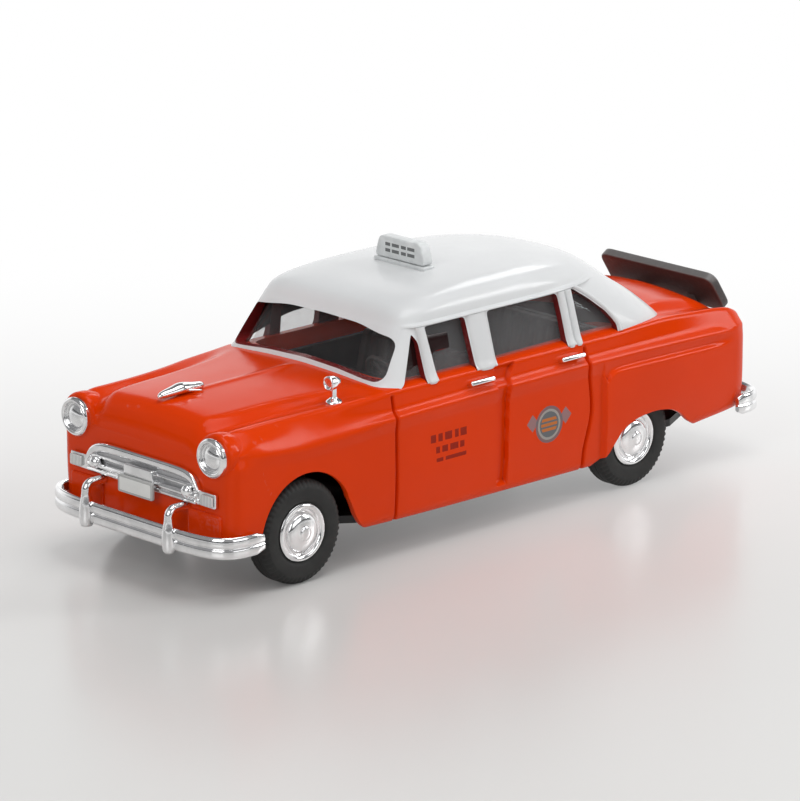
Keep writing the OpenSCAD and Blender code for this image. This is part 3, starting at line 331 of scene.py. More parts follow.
cabin_look = plastic("cabin_plastic", (0.012, 0.011, 0.012, 1), (0.032, 0.03, 0.031, 1))
seat_look = pleated("seat_plastic")
keep("cabin_tub", cabin_look, 0.1)
keep("front_seat", seat_look, 0.4)
keep("rear_seat", seat_look, 0.4)
keep("dashboard", cabin_look, 0.25)
keep("steering_wheel", plastic("wheel_plastic", (0.06, 0.055, 0.05, 1), (0.1, 0.095, 0.09, 1)))


# ---------------- body
# One cast shell, sprayed orange-red: wings, hood, boot, doors and sills, with soft cast door lines.
# Skinned through cross-sections along the car; its lower edge rolls in at the sills and wheel arches.
# Pods on the front wings take the headlamps, and a hole under the roof takes the cabin.
W, N, T, BELT, SILL = 19.7, 55.0, -57.0, 26.2, 5.5  # half width, nose, tail, belt line, sill
WING, DOOR, AXLE_F, AXLE_R = -22.2, 22.1, 41.0, -30.2  # front of the rear wing, front door line, axles
CABIN_X, CABIN_HALF = -6, 16.0
LAMP_Y, LAMP_Z = 15.4, 21.7
GROOVE, GROOVE_HALF = .9, .45


def curve(x, p):
    """A line through (x, value) points without overshoot."""
    i = 0
    while i < len(p) - 2 and x > p[i + 1][0]:
        i += 1

    def step(k):
        return (p[k + 1][1] - p[k][1]) / (p[k + 1][0] - p[k][0])

    def lean(k):
        if k == 0 or k == len(p) - 1:
            return step(min(k, len(p) - 2))
        a, b = step(k - 1), step(k)
        return 0.0 if a * b <= 0 else 2 * a * b / (a + b)

    h = p[i + 1][0] - p[i][0]
    t = min(1.0, max(0.0, (x - p[i][0]) / h))
    return ((1 + 2 * t) * (1 - t) ** 2 * p[i][1] + t * (1 - t) ** 2 * lean(i) * h
            + t * t * (3 - 2 * t) * p[i + 1][1] + t * t * (t - 1) * lean(i + 1) * h)


def from_ends(tail, middle, nose, base):
    """Points with x from the tail, the middle and the nose, and values from a base."""
    return ([(T + d, base + v) for d, v in tail] + [(x, base + v) for x, v in middle]
            + [(N - d, base + v) for d, v in nose])


SIDE = from_ends([(0, -5), (.4, -3.4), (1.1, -1.8), (2.2, -.7), (4.5, 0), (9, .35)],
                 [(WING - 12, .7), (WING - .3, .75), (WING + .35, -.05), (0, -.1), (DOOR, 0)],
                 [(13.6, 0), (5, 0), (2.4, -.05), (1.58, -.18), (.86, -.6), (.56, -.9), (.32, -1.25), (.08, -1.85),
                  (0, -2.5)], W)
LOWER = from_ends([(0, 3.2), (7, 2.8), (14, 2.3)], [(AXLE_R + 6, -.1), (0, 0), (AXLE_F - 14, .4), (AXLE_F + 5, 2)],
                  [(0, 2.7)], SILL)
BEVEL_Y = from_ends([(0, -5), (.4, -3.45), (1.1, -1.9), (2.2, -.85), (4.5, -.2), (12, -.1)],
                    [(WING, -.1), (0, -.15), (DOOR, -.1)],
                    [(8, -.2), (4, -.3), (2.4, -.5), (1.4, -.95), (.7, -1.6), (.25, -2.4), (0, -3.2)], W)
BEVEL_Z = from_ends([(0, -6), (1.5, -4.8), (8, -4.4)], [(WING, -3.9), (0, -4), (DOOR, -4.3)],
                    [(25, -4.6), (14.6, -4.95), (3.6, -4.4), (1, -4.5), (.3, -5), (0, -5.7)], BELT)
CREST_Y = from_ends([(0, -6), (.8, -3.9), (2.4, -2.3), (5, -1.8), (12, -1.5), (21, -1.2)], [(WING, -.8), (DOOR, -.9)],
                    [(24.6, -1.2), (18, -2.2), (14.6, -2.6), (8, -3.1), (5, -3.2), (3, -3.4), (1.8, -3.7),
                     (.9, -4.1), (.3, -4.6), (0, -5)], W)
CREST_Z = from_ends([(0, -5.3), (.8, -3.5), (2.4, -2.1), (5, -1.1), (12, -.5), (21, -.1)], [(WING, -.5), (DOOR, -.4)],
                    [(14.6, -.65), (5, -.75), (2.6, -1.05), (1.4, -1.7), (.6, -2.9), (.2, -4.2), (0, -5.2)], BELT)
VALLEY_Y = from_ends([(0, -9), (1.6, -7.4), (5, -6), (12, -5.4), (21, -4.6)], [(WING, -2), (DOOR, -2)],
                     [(24.6, -5), (14.6, -6.3), (7, -6.6), (3, -7.2), (1.4, -7.8), (0, -8.4)], W)
VALLEY_Z = from_ends([(0, -5.3), (1.6, -3.5), (5, -2.2), (12, -1.2), (21, -.2)], [(WING, 0), (DOOR, 0)],
                     [(24.6, -.8), (14.6, -1.5), (5, -1.9), (2.4, -2.1), (1.2, -2.7), (.5, -3.6), (0, -5)], BELT)
LID_Y = from_ends([(0, -12), (2, -10), (5, -8.4), (12, -7.7), (21, -7)], [(WING, -6), (DOOR, -5.5)],
                  [(24.6, -7), (14.6, -8.2), (7, -8.6), (3, -9.2), (1.4, -9.8), (0, -10.4)], W)
LID_FALL = from_ends([(0, .2), (5, .9), (21, .9)], [(0, .3), (DOOR, .5)],
                     [(14.6, .6), (3, .5), (1, .35), (0, .15)], 0)
CROWN = from_ends([(0, -5.2), (.6, -4.2), (2, -2.4), (4, -.9), (7, .3), (11, 1.04), (16, 1.6), (22, 1.8)],
                  [(0, .5), (DOOR, .9)],
                  [(14.6, .7), (6.6, .5), (3.4, .3), (2.2, -.2), (1.2, -1.2), (.5, -2.6), (.15, -3.9),
                   (0, -4.9)], BELT)


def section(x, n=8):
    """Half of a cross-section from the sill to the middle, and where the middle of each soft corner is in it."""
    side, low = curve(x, SIDE), curve(x, LOWER)
    crown = curve(x, CROWN)
    lid_y, lid_z = curve(x, LID_Y), crown - curve(x, LID_FALL)
    bevel_z = curve(x, BEVEL_Z)
    # How much there is here of the side's relief, the shoulder ledge, the round front wing,
    # the crease in the hood, the step on the rear wing and the round front corner of that step
    fade = curve(x, [(T + 3, 0), (T + 8, 1), (N - 7, 1), (N - 2.5, 0)])
    ledge = curve(x, [(T + 4, 0), (T + 9, 1), (N - 8, 1), (N - 3, 0)])
    round_wing = curve(x, [(23, 0), (37, 1), (N - 6, 1), (N - 2.2, 0)])
    crease = curve(x, [(24.5, 0), (27, .2), (44, .2), (50, 0)])
    shelf = curve(x, [(T + 5, 0), (T + 11, 1), (WING - .5, 1), (WING + .3, 0)])
    corner = curve(x, [(WING - 3.6, 0), (WING - 2, .2), (WING - 1.1, .7), (WING - .6, 1.4), (WING + .2, 0)])
    top_z, bevel_y = bevel_z - 1.5 - .6 * fade - corner, curve(x, BEVEL_Y) + .3 * fade
    top_y = side - .1 * fade
    p = [(side - .85, low, 0), (side - .35, low + .7, .5), (side, 12.5, 3), (top_y, top_z, .8 - .45 * shelf),
         (top_y + (bevel_y - side) * .4 * (1 - shelf) - .62 * shelf, top_z + .6 - .1 * shelf, .6 - .3 * shelf),
         (bevel_y, bevel_z, .35 + .4 * round_wing),
         (bevel_y - .15 * fade - .8 * ledge - .35 * round_wing, bevel_z + .5 + .6 * ledge + .8 * round_wing,
          .4 + .8 * round_wing), (curve(x, CREST_Y) - .3 * fade, curve(x, CREST_Z), .6 + .5 * round_wing),
         (curve(x, VALLEY_Y), curve(x, VALLEY_Z), .8), (lid_y, lid_z, .8),
         (lid_y * .5, lid_z + (crown - lid_z) * .75, 4), (.8, crown, .3), (0, crown + crease, 0)]
    line, middles = [p[0][:2]], []
    for i in range(1, len(p) - 1):
        ends = []
        for q in (p[i - 1], p[i + 1]):
            dy, dz = q[0] - p[i][0], q[1] - p[i][1]
            f = min(p[i][2] / max(hypot(dy, dz), .001), .48)
            ends.append((p[i][0] + dy * f, p[i][1] + dz * f))
        middles.append(len(line) + n // 2)
        for k in range(n + 1):
            t = k / n
            line.append(tuple((1 - t) ** 2 * a + 2 * t * (1 - t) * c + t * t * b
                              for a, c, b in zip(ends[0], p[i][:2], ends[1])))
    line.append(p[-1][:2])
    return line, middles


def spread(line, count):
    """The same line with evenly spaced points."""
    along = [0.0]
    for a, b in zip(line, line[1:]):
        along.append(along[-1] + dist(a, b))
    out, i = [], 0
    for k in range(count):
        s = along[-1] * k / (count - 1)
        while i < len(line) - 2 and along[i + 1] < s:
            i += 1
        f = (s - along[i]) / max(along[i + 1] - along[i], 1e-9)
        out.append(tuple(a + (b - a) * f for a, b in zip(line[i], line[i + 1])))
    return out


def cut_above(line, height):
    """The part of a rising line above a height."""
    for i in range(len(line) - 1):
        if line[i][1] <= height < line[i + 1][1]:
            f = (height - line[i][1]) / (line[i + 1][1] - line[i][1])
            return [tuple(a + (b - a) * f for a, b in zip(line[i], line[i + 1]))] + line[i + 1:]
    return line


ARCH_F = (AXLE_F - .7, 8.15, 9.05)
ARCH_F_BACK = [(-13.4, 4.2), (-12.8, 5.4), (-11, 6.8), (-9.9, 8.4), (-9.0, 10.3), (-7.9, 12.2)]
ARCH_R = [(-14, 6.6), (-13.4, 7.5), (-11.2, 8.8), (-9, 10.6), (-6.2, 11.75), (-3, 12.1), (0, 11.85), (2, 11.4),
          (4.1, 10.4), (5.9, 8.5), (7.4, 6.9), (9.6, 5.7), (10.6, 4.5)]


def edge_z(x):
    """Lower edge of the shell: the sill, or the arch over a wheel."""
    z = curve(x, LOWER)
    d = x - ARCH_F[0]
    if abs(d) < ARCH_F[2]:
        z = max(z, ARCH_F[1] + sqrt(ARCH_F[2] ** 2 - d * d) * (1 if d > -8 else 0))
    if -13.4 < d < -7.9:
        z = max(z, curve(d, ARCH_F_BACK))
    d = x - AXLE_R
    if -14 < d < 10.6:
        z = max(z, curve(d, ARCH_R))
    return z


def cabin_y(x):
    """Half width of the hole in the shell under the roof, or 0 ahead of and behind it."""
    length, power = (26.8, 11.0) if x > CABIN_X else (32.3, 6.4)
    d = abs(x - CABIN_X) / length
    return CABIN_HALF * (1 - d ** power) ** (1 / power) if d < 1 else 0.0


def hollow(d, width):
    """Depth of a soft groove, from 1 in its middle to 0."""
    t = min(1.0, abs(d) / width)
    return (1 - t * t) ** 2


def door_lines(x, z):
    """Depth of the cast lines on the body's side."""
    depth = 0.0
    if abs(x - DOOR) < .6:
        depth = GROOVE * hollow(x - DOOR, GROOVE_HALF) * min(1, max(0, (25.3 - z) / .6))
    rear = curve(z, [(5, -18.1), (7, -18.1), (15.4, -19.7), (22.2, -19.1), (25, -18.9)])
    if abs(x - rear) < .6:
        depth = max(depth, GROOVE * hollow(x - rear, GROOVE_HALF) * min(1, max(0, (25.2 - z) / .8)))
    edge = curve(z, [(5, -1.25), (10, -1.3), (20, -1.6), (22.4, -1.9), (24, -2.5), (25.2, -3.5)])
    post = max(edge - x, x - .6, 0)
    if post < .4:
        depth = max(depth, .85 * hollow(post, .22) * min(1, max(0, (25.6 - z) / .7), max(0, (z - 6.6) / .6)))
    return depth


stations = {T, N, T + .1, T + .3}
for a, b, gap in ((T, T + 3, .22), (T + 3, -45, .55), (-45, -38, .3), (-38, -24, .5), (-24, -17.4, .11),
                  (-17.4, -4.2, .7), (-4.2, 1.3, .11), (1.3, 20.6, .75), (20.6, 24.6, .11), (24.6, 30, .35),
                  (30, 50, .3), (50, 53, .3), (53, 54.4, .14), (54.4, 54.9, .06), (54.9, N, .025)):
    count = ceil((b - a) / gap)
    stations |= {round(a + (b - a) * k / count, 4) for k in range(count)}
for k in range(24):
    stations |= {round(ARCH_F[0] + ARCH_F[2] * cos(radians(k * 1.6)), 4)}
# Lower edge rolled in, as (inwards, up) from the first point of a section
ROLLED = [(2.6, 7), (1.5, 2.5), (1.25, .5), (1.1, .12), (.85, -.02), (.4, -.1), (.12, -.04)]
SIDE_POINTS = 90  # points of a section that the door lines can sink
rows = []
for x in sorted(stations):
    line, mid = section(x)
    hole = cabin_y(x)
    if hole:
        keep_to = next(i for i, q in enumerate(line) if q[0] < hole and i > mid[6])
        a, b = line[keep_to - 1], line[keep_to]
        f = (a[0] - hole) / (a[0] - b[0])
        line = line[:keep_to] + [(hole, a[1] + (b[1] - a[1]) * f)]
    # All rows have the same number of points, with and without the hole
    half = spread(cut_above(line[:mid[4] + 1], edge_z(x)), 70)[:-1]
    spans = ((4, 5, 9), (5, 6, 12), (6, 7, 12), (7, 8, 10))
    for first, last, count in spans[:2] if hole else spans:
        half += spread(line[mid[first]:mid[last] + 1], count)[:-1]
    half += spread(line[mid[6]:], 48) if hole else spread(line[mid[8]:], 28)
    half = [(y - door_lines(x, z) if i < SIDE_POINTS else y, z) for i, (y, z) in enumerate(half)]
    (y0, z0), (y1, z1) = half[0], half[-1]
    turned = [(y0 - inwards, z0 + up) for inwards, up in ROLLED]
    inner = [(y1, z1 - .3), (y1, z1 - 4)] if hole else [half[-1], half[-1]]
    rows.append([(x, y, z) for y, z in turned + half + inner])


def place_yz(x):
    """Frame for a plate whose outline is (across, up) and whose depth goes to the front."""
    return Matrix(((0, 0, 1, x), (1, 0, 0, 0), (0, 1, 0, 0), (0, 0, 0, 1)))


def soft_box(y0, y1, z0, z1, r, n=5):
    """Outline of a rectangle with round corners, y0 and y1 in any order."""
    (y0, y1), out = sorted((y0, y1)), []
    for cy, cz, turn in ((y1 - r, z0 + r, -90), (y1 - r, z1 - r, 0), (y0 + r, z1 - r, 90), (y0 + r, z0 + r, 180)):
        for k in range(n + 1):
            t = radians(turn + 90 * k / n)
            out.append((cy + r * cos(t), cz + r * sin(t)))
    return out


shell = Shape()
shell.skin(rows, False, False)
shell.skin([[(x, -y, z) for x, y, z in row] for row in rows], False, False)
for end in (rows[0], rows[-1]):
    cap = end[len(ROLLED):-3]
    shell.faces.append(tuple(range(len(shell.points), len(shell.points) + 2 * len(cap))))
    shell.points += cap + [(x, -y, z) for x, y, z in reversed(cap)]
    shell.looks.append(0)
for sign in (1, -1):
    shell.turn([(2.6, -1.5), (2.9, -.25), (3.05, -.12), (3.3, -.2), (3.5, -.5), (3.56, -1.1), (3.4, -2.6),
                (2.3, -6.0), (0, -7)], 5, (N + .1, sign * LAMP_Y, LAMP_Z), (1, 0, 0), 96)
    shell.plate(soft_box(sign * 9.7, sign * 17.0, 8.9, 13.0, .5), place_yz(N - .6), .95, .3)


def enamel(name, colour, deep, gloss=0.3, marks=None):
    """Sprayed enamel with soft orange peel; hollows and grooves painted darker as shade, edges paler from thin worn
    paint and a painted highlight, back faces painted near-black as shade.
    """
    made, start, place = material(name)
    peel = place.noise(0.8, 1) * 0.8 + place.noise(3.5, 1) * 0.2
    tone = place.noise(0.06, 3).ramp(0.3, 0.7)
    bend = start.add("NewGeometry", out="Pointiness")
    # Concave places, grooves and creases take the deep colour: painted shade.
    hollows = bend.ramp(0.38, 0.48)
    # Convex edges are made paler: partly thin, worn paint, partly a painted highlight.
    wear_and_highlight = bend.ramp(0.53, 0.6) * place.noise(1.3, 3, 0.6).ramp(0.4, 0.65)
    coat = hollows.mix(deep, tone.mix(colour, shaded(colour, 1.06)))
    coat = (wear_and_highlight * 0.4).mix(coat, shaded(colour, 0.8, 0.1))
    if marks:
        coat = marks(start, place, coat)
    # Faces seen from behind, the inside of the shell, are painted near-black as shade.
    coat = start.add("NewGeometry", out="Backfacing").mix(coat, shaded(colour, 0.08, 0.004))
    surface(start, {"Base Color": coat, "Roughness": place.noise(0.4, 3).ramp(0.3, 0.7, 0.15, 0.22),
                    "Specular IOR Level": gloss, "Coat Weight": gloss * 0.5, "Coat Roughness": 0.1,
                    "Normal": peel.bump(0.1, 0.00005)})
    return made


def door_print(start, place, coat):
    """Dark bars printed on the front doors and a round badge on the rear doors."""
    x, y, z = place.parts()
    outside = abs(y) > 18.6
    rough = place.noise(2.2, 2) * 0.12 - 0.06
    bars = None
    for z0, high, blocks in ((17.1, .62, ((7.5, 1.3), (9.2, .8), (10.6, 1.5), (12.6, .9), (14.0, 1.1))),
                             (15.2, .5, ((8.0, .9), (9.3, 1.7), (11.5, 1.2), (13.2, .8))),
                             (13.6, .3, ((7.6, 4.4), (12.5, 1.4)))):
        line = abs(z - z0) + rough < high
        for a, long in blocks:
            bar = line * (abs(x - a - long / 2) + rough < long / 2)
            bars = bar if bars is None else bars + bar
    coat = (bars * outside * 0.72).mix(coat, (0.12, 0.006, 0.005, 1))
    dx, dz = x + 10.3, z - 14.4
    r = start.math("SQRT", dx * dx + dz * dz) + rough
    wing = (abs(abs(dx) - 3.6) + abs(z - 15.2) * 0.9 + rough < 1.25) * outside
    coat = (wing * 0.8).mix(coat, (0.2, 0.2, 0.21, 1))
    for size, ink in ((2.95, (0.13, 0.14, 0.15, 1)), (2.45, (0.36, 0.35, 0.32, 1)), (2.05, (0.1, 0.11, 0.12, 1))):
        coat = ((r < size) * outside * 0.85).mix(coat, ink)
    for lift in (-0.8, 0.0, 0.8):
        coat = ((abs(dz - lift) < 0.24) * (r < 1.75) * outside * 0.9).mix(coat, (0.55, 0.16, 0.03, 1))
    return coat


# The dark second colour is painted shade for the shell's hollows and door lines.
red = enamel("body_paint", (0.67, 0.04, 0.0004, 1), (0.2, 0.005, 0.001, 1), 0.1, door_print)
shell.finish("body_shell_cast", "car", "body_paint", ["body_shell"], [red], 60)


# ---------------- grille, its lamps and the number plate
# One plated moulding pushed on to the nose: an arch round two bars, a box, two bullets and a pair of wings.
# Clear lamps sit on the wings; a blank white plate hangs on the box.
GRILLE = 13.9


def arch(y):
    """Height of the surround's upper edge."""
    return GRILLE + 5.1 * sqrt(max(0.0, 1 - (abs(y) / 13.1) ** 8))


grille = Shape()
ys = [12.75 * sin(pi * k / 120) for k in range(-60, 61)]
band = smooth_line([(.1, 0), (.55, .02), (.85, -.14), (.98, -.5), (.92, -.95), (.78, -1.3), (.4, -1.58),
                    (.1, -1.6)], 4)
grille.skin([[(N + dx, y, arch(y) + dz) for dx, dz in band] for y in ys])
# A duller steel strip behind the bars stands for the shade in the grille's slots: painted shade.
grille.skin([[(N + .06, y, arch(y) - .4), (N + .36, y, arch(y) - .4), (N + .36, y, GRILLE + .1),
              (N + .06, y, GRILLE + .1)] for y in ys], look=1)
bar = [(.2, -.5), (.6, -.5), (.85, -.42), (.97, -.22), (1, 0), (.97, .22), (.85, .42), (.6, .5), (.2, .5)]
for half, z, high, deep in ((11.8, 16.55, .56, .78), (12.4, 14.42, .82, 1.2), (12.4, 15.26, .86, 1.2)):
    tip = [(half, .6), (half - .12, .9), (half - .3, 1)]
    grille.skin([[(N + dx * deep * c, y, z + dz * high * c) for dx, dz in bar]
                 for y, c in [(-y, c) for y, c in tip] + tip[::-1]])
grille.plate(soft_box(-3.2, 3.2, 14.4, 17.2, .35), place_yz(N + .3), 1.3, .22)
for sign in (1, -1):
    grille.turn([(.95, 0), (.97, .4), (.8, .75), (.45, 1.02), (0, 1.12)], 5, (N + .7, sign * 10.4, 15.7), (1, 0, 0), 48)
    grille.plate(soft_box(sign * 11.4, sign * 16.4, 14.05, 16.3, .3), place_yz(N + .08), .68, .18)
grille.finish("grille_plated", "car", "plated_trim", ["grille"], [chrome, steel("grille_shade_steel")])


def lens(name, colour, fluted=3.0):
    """Clear moulded lens over a bright back, with fine flutes painted darker in their troughs as shade."""
    made, start, place = material(name)
    flute = start.math("SINE", place.parts()[1] * fluted * 6.28)
    shade = flute.ramp(-1, 1).mix(shaded(colour, 0.6), colour)
    surface(start, {"Base Color": shade, "Metallic": 0.35, "Roughness": place.noise(2.0).ramp(0.3, 0.7, 0.08, 0.18),
                    "Coat Weight": 0.8, "Coat Roughness": 0.04, "Normal": flute.bump(0.5, 0.0001)})
    return made


clear_look = lens("clear_lens", (0.78, 0.79, 0.78, 1))
lamps = Shape()
for sign in (1, -1):
    lamps.plate(soft_box(sign * 13.5, sign * 16.1, 14.3, 16.0, .3), place_yz(N + .8), .42, .16)
lamps.finish("grille_side_lamp_lenses", "car", "clear_lens", ["grille_side_lamps"], [clear_look])
plate = Shape()
plate.plate(soft_box(-3.9, 3.9, 12.9, 15.6, .3), place_yz(N + 1.65), .5, .12)
plate.plate(soft_box(-3.5, 3.5, 13.25, 15.25, .2), place_yz(N + 2.08), .11, .05, 1)
white_plastic = plastic("plate_plastic", (0.7, 0.7, 0.68, 1), (0.8, 0.8, 0.78, 1), 1.0, 0.42)
plate.finish("number_plate_blank", "car", "plate_plastic", ["number_plate"],
             [plastic("plate_rim", (0.4, 0.4, 0.39, 1), (0.5, 0.5, 0.49, 1)), white_plastic])


# ---------------- bumpers and guards
# Plated blades with two ridges, bent round the corners of the body on flat irons.
# The front one carries two guards whose tubes turn back to the nose under the grille.
def blade(name, end_x, face_x, z, turn, node):
    """One bumper: a ridged blade along a squared-off oval, and two irons back to the body."""
    shape = Shape()
    h, half_width, core, path = 1.7, 20.8, .55, []
    for k in range(-60, 61):
        t = radians(k * 1.5)
        s, c = sin(t), max(cos(t), 0)
        path.append(Vector((end_x + (face_x - end_x) * c ** (2 / 3.9),
                            copysign(abs(s) ** (2 / 5.4), s) * half_width)))
    if turn < 0:
        path = [Vector((p.x, -p.y)) for p in path]
    face = smooth_line([(-1.1, -.8 * h), (-.75, -.94 * h), (-.35, -.98 * h), (-.08, -.8 * h), (0, -.5 * h),
                        (-.05, -.18 * h), (-.24, 0), (-.06, .18 * h), (-.02, .42 * h), (-.12, .76 * h),
                        (-.38, .98 * h), (-.75, .96 * h), (-1.1, .84 * h)], 4)
    rows = []
    for i, p in enumerate(path):
        d = (path[min(i + 1, len(path) - 1)] - path[max(i - 1, 0)]).normalized()
        away = min((p - path[0]).length, (p - path[-1]).length)
        end = 1 - .3 * max(0, 1 - away / .5) ** 2
        rows.append([(p.x + d.y * (out + core) * end - d.y * core, p.y - d.x * (out + core) * end + d.x * core,
                      z + up * end) for out, up in face])
    shape.skin(rows)
    back, front = sorted((N - 6.6, face_x - 1) if turn > 0 else (T + 9, face_x + 1))
    for sign in (1, -1):
        shape.plate(soft_box(sign * 6 - 1, sign * 6 + 1, 7.11, 7.9, .15), place_yz(back), front - back, .1)
    shape.finish(name, "car", "plated_trim", [node], [chrome], 50)


blade("front_bumper_blade", 49.8, 58.9, 8.8, 1, "front_bumper")
blade("rear_bumper_blade", T + 4.6, -59.85, 9.2, -1, "rear_bumper")
GUARD_X, GUARD_Y = 58.7, 9.4
guards = Shape()
for sign in (1, -1):
    stem = [(GUARD_X, z, r) for z, r in ((6.5, .45), (6.62, .85), (7.1, 1.06), (7.9, 1.15), (9.2, 1.12), (10.3, .98),
                                         (11.1, .8), (11.8, .72))]
    stem += [(57.6 + 1.1 * cos(t), 12.05 + 1.1 * sin(t), .7) for t in (k * pi / 16 for k in range(9))]
    stem += [(N + .1, 13.15, .7)]
    rows = []
    for i, (x, z, r) in enumerate(stem):
        a, b = stem[max(i - 1, 0)], stem[min(i + 1, len(stem) - 1)]
        dx, dz = b[0] - a[0], b[1] - a[1]
        size = hypot(dx, dz)
        side = Vector((dz / size, 0, -dx / size))
        rows.append([Vector((x, sign * GUARD_Y, z)) + (side * cos(t) + Vector((0, 1, 0)) * sin(t)) * r
                     for t in turns(32)])
    guards.skin(rows)
guards.finish("front_bumper_guard_tubes", "car", "plated_trim", ["front_bumper_guards"], [chrome], 60)


# ---------------- lamps and small trim
# Turned plated rims pushed into the wings hold domed lenses; red lenses sit in the tail.
# Plated odds and ends: a spot lamp on a stalk, an ornament on the hood and pull handles on the doors.
def smoky(name, tint, cover):
    """Clear moulding with a slight tint, faint flow lines and smears; faces turned across the car are made denser as a
    painted reflection.
    """
    made, start, place = material(name)
    flow = place.noise(0.25, 3)
    smear = place.noise(0.6, 4, 0.65).ramp(0.45, 0.75)
    # Faces turned across the car, the side windows, are made more opaque: a painted reflection.
    across = start.add("NewGeometry", out="Normal").parts()[1]
    surface(start, {"Base Color": flow.mix(shaded(tint, 0.8), tint),
                    "Roughness": smear * 0.08 + 0.04, "Alpha": abs(across) * cover + smear * 0.03 + cover * 0.2,
                    "Normal": flow.bump(0.15, 0.0002)})
    return made


for side, sign in (("left", 1), ("right", -1)):
    at = (N - 3.35, sign * LAMP_Y, LAMP_Z)
    rim = Shape()
    rim.turn([(2.6, .4), (2.95, .8), (2.98, 3.7), (2.93, 4.05), (2.74, 4.3), (2.5, 4.34), (2.28, 4.2), (2.18, 3.9),
              (2.08, 3.7), (1.9, 3.68), (1.72, 3.85), (1.2, 4.12), (.6, 4.27), (0, 4.32)], 5, at, (1, 0, 0), 96)
    rim.finish(f"headlamp_ring_{side}", "car", "plated_trim", [f"headlamp_rim_{side}"], [chrome], 60)
    glass = Shape()
    glass.turn([(2.12, 3.78), (2.12, 4.05), (1.85, 4.32), (1.4, 4.52), (.8, 4.66), (0, 4.72)], 5, at, (1, 0, 0), 72)
    glass.finish(f"headlamp_glass_{side}", "car", "clear_lens", [f"headlamp_lens_{side}"],
                 [smoky("headlamp_lens_" + side, (0.75, 0.76, 0.76, 1), 0.14)])
    tail = Shape()
    tail.turn([(1.3, 0), (1.3, 1.1), (1.2, 1.35), (.95, 1.55), (.5, 1.7), (0, 1.75)], 4,
              (T + 1.35, sign * 15.6, 20.6), (-1, 0, 0), 64)
    tail.finish(f"tail_lamp_glass_{side}", "car", "red_lens", [f"tail_lamp_{side}"],
                [lens("red_lens_" + side, (0.4, 0.01, 0.012, 1), fluted=2.0)])
low, high = (Vector(c) * 1000 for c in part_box("spot_lamp"))
foot = Vector(((low.x + high.x) / 2, (low.y + high.y) / 2, low.z))
spot = Shape()
spot.turn([(1.35, -.35), (1.25, .05), (.95, .3), (.62, .55), (.52, .9), (.55, 1.9), (.7, 2.5)], 4, foot, (0, 0, 1), 40)
spot.turn([(0, -1.2), (.4, -1.12), (.75, -.7), (1.05, .1), (1.12, .85), (1.08, 1.12), (.92, 1.2), (.85, 1.08),
           (.6, .95), (0, .9)], 4, foot + Vector((0, 0, 2.9)), (1, 0, 0), 56)
spot.finish("spot_lamp_plated", "car", "plated_trim", ["spot_lamp"], [chrome], 60)
low, high = (Vector(c) * 1000 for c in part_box("hood_ornament"))
ornament = Shape()
bird = [(low.x, .6, .2, .16), (low.x + .3, .6, .6, .5), (low.x + 2, .7, .9, .66), (low.x + 4.2, .85, 1.2, .86),
        (low.x + 6, .7, 1.0, .7), (high.x - .8, .5, .62, .5), (high.x - .1, .4, .16, .14)]
ornament.skin([[(x, w * cos(t), low.z + .05 + z + h * sin(t)) for t in turns(24)]
               for x, z, w, h in smooth_line(bird, 5)])
for sign in (1, -1):
    ornament.skin([[(low.x + 4.9 - 2.9 * f + (.62 - .32 * f) * cos(t), sign * 1.95 * f, low.z + .66 - .1 * f
                     + (.3 - .16 * f) * sin(t)) for t in turns(20)]
                   for f in (0, .3, .6, .85, 1, 1.04)])
ornament.finish("hood_ornament_plated", "car", "plated_trim", ["hood_ornament"], [chrome], 60)
handles = Shape()
for sign in (1, -1):
    for x in (4.15, -15.4):
        out = [(x + dx, dz) for dx, dz in soft_box(-2.55, 2.55, -.36, .36, .34, 6)]
        y = curve(x, [(-15.4, 19.35), (4.15, 19.25)])
        tilt = Matrix.Translation((0, sign * (y - .65), 23.7)) @ Matrix.Rotation(radians(sign * 24), 4, "X")
        handles.plate(out, tilt @ Matrix(((1, 0, 0, 0), (0, 0, sign, 0), (0, 1, 0, 0), (0, 0, 0, 1))), 1.4, .22)
handles.finish("door_handle_pulls", "car", "plated_trim", ["door_handles"], [chrome], 60)


# ---------------- roof and glazing
# A second casting sprayed white outside and red inside, the inside painted a dark red as shade, with round-cornered
# window holes.
# A smoky clear moulding lines it and shows through all the openings.
ROOF, GUTTER, ROOF_FOOT, RING = 38.9, 34.3, BELT - .75, 240  # three heights, points in a ring
ROOF_W = [(BELT - 1.2, 18.5), (BELT, 18.2), (GUTTER, 16.3), (GUTTER + 1.4, 15.95), (ROOF - 2.3, 15.35),
          (ROOF - 1.5, 14.4), (ROOF - .9, 12.7), (ROOF - .4, 9.3), (ROOF, 4.3)]
ROOF_F = [(BELT - 1.2, 24.5), (BELT, 24), (GUTTER - 1, 19.3), (GUTTER, 18.5), (ROOF - 2.3, 16.4), (ROOF - 1.5, 13.6),
          (ROOF - .9, 9.5), (ROOF - .4, 4.5), (ROOF, -1)]
ROOF_R = [(BELT - 1.2, -41.6), (BELT, -40.5), (BELT + 3.5, -37.3), (GUTTER, -31.5), (ROOF - 2.3, -27.7),
          (ROOF - 1.5, -24.9), (ROOF - .9, -21.3), (ROOF - .4, -16), (ROOF, -10.5)]
SQUARE_F = [(BELT - 1.2, 18), (BELT - .3, 13), (BELT + 1, 11), (GUTTER + 1, 11), (ROOF - 1.5, 6), (ROOF, 3)]
SQUARE_R = [(BELT, 6.4), (BELT + 3, 4.6), (GUTTER - 1, 3.1), (ROOF - 1.5, 2.6), (ROOF, 2.4)]
GUTTER_ALONG = [(-26, 0), (-21, 1), (14, 1), (17.5, 0)]
FOOT_ALONG = [(-22, 0), (-19.5, 1), (24, 1)]
FOOT = [(BELT - 1.2, .4), (BELT - .5, .3), (BELT + .1, .1), (BELT + .9, 0), (ROOF, 0)]


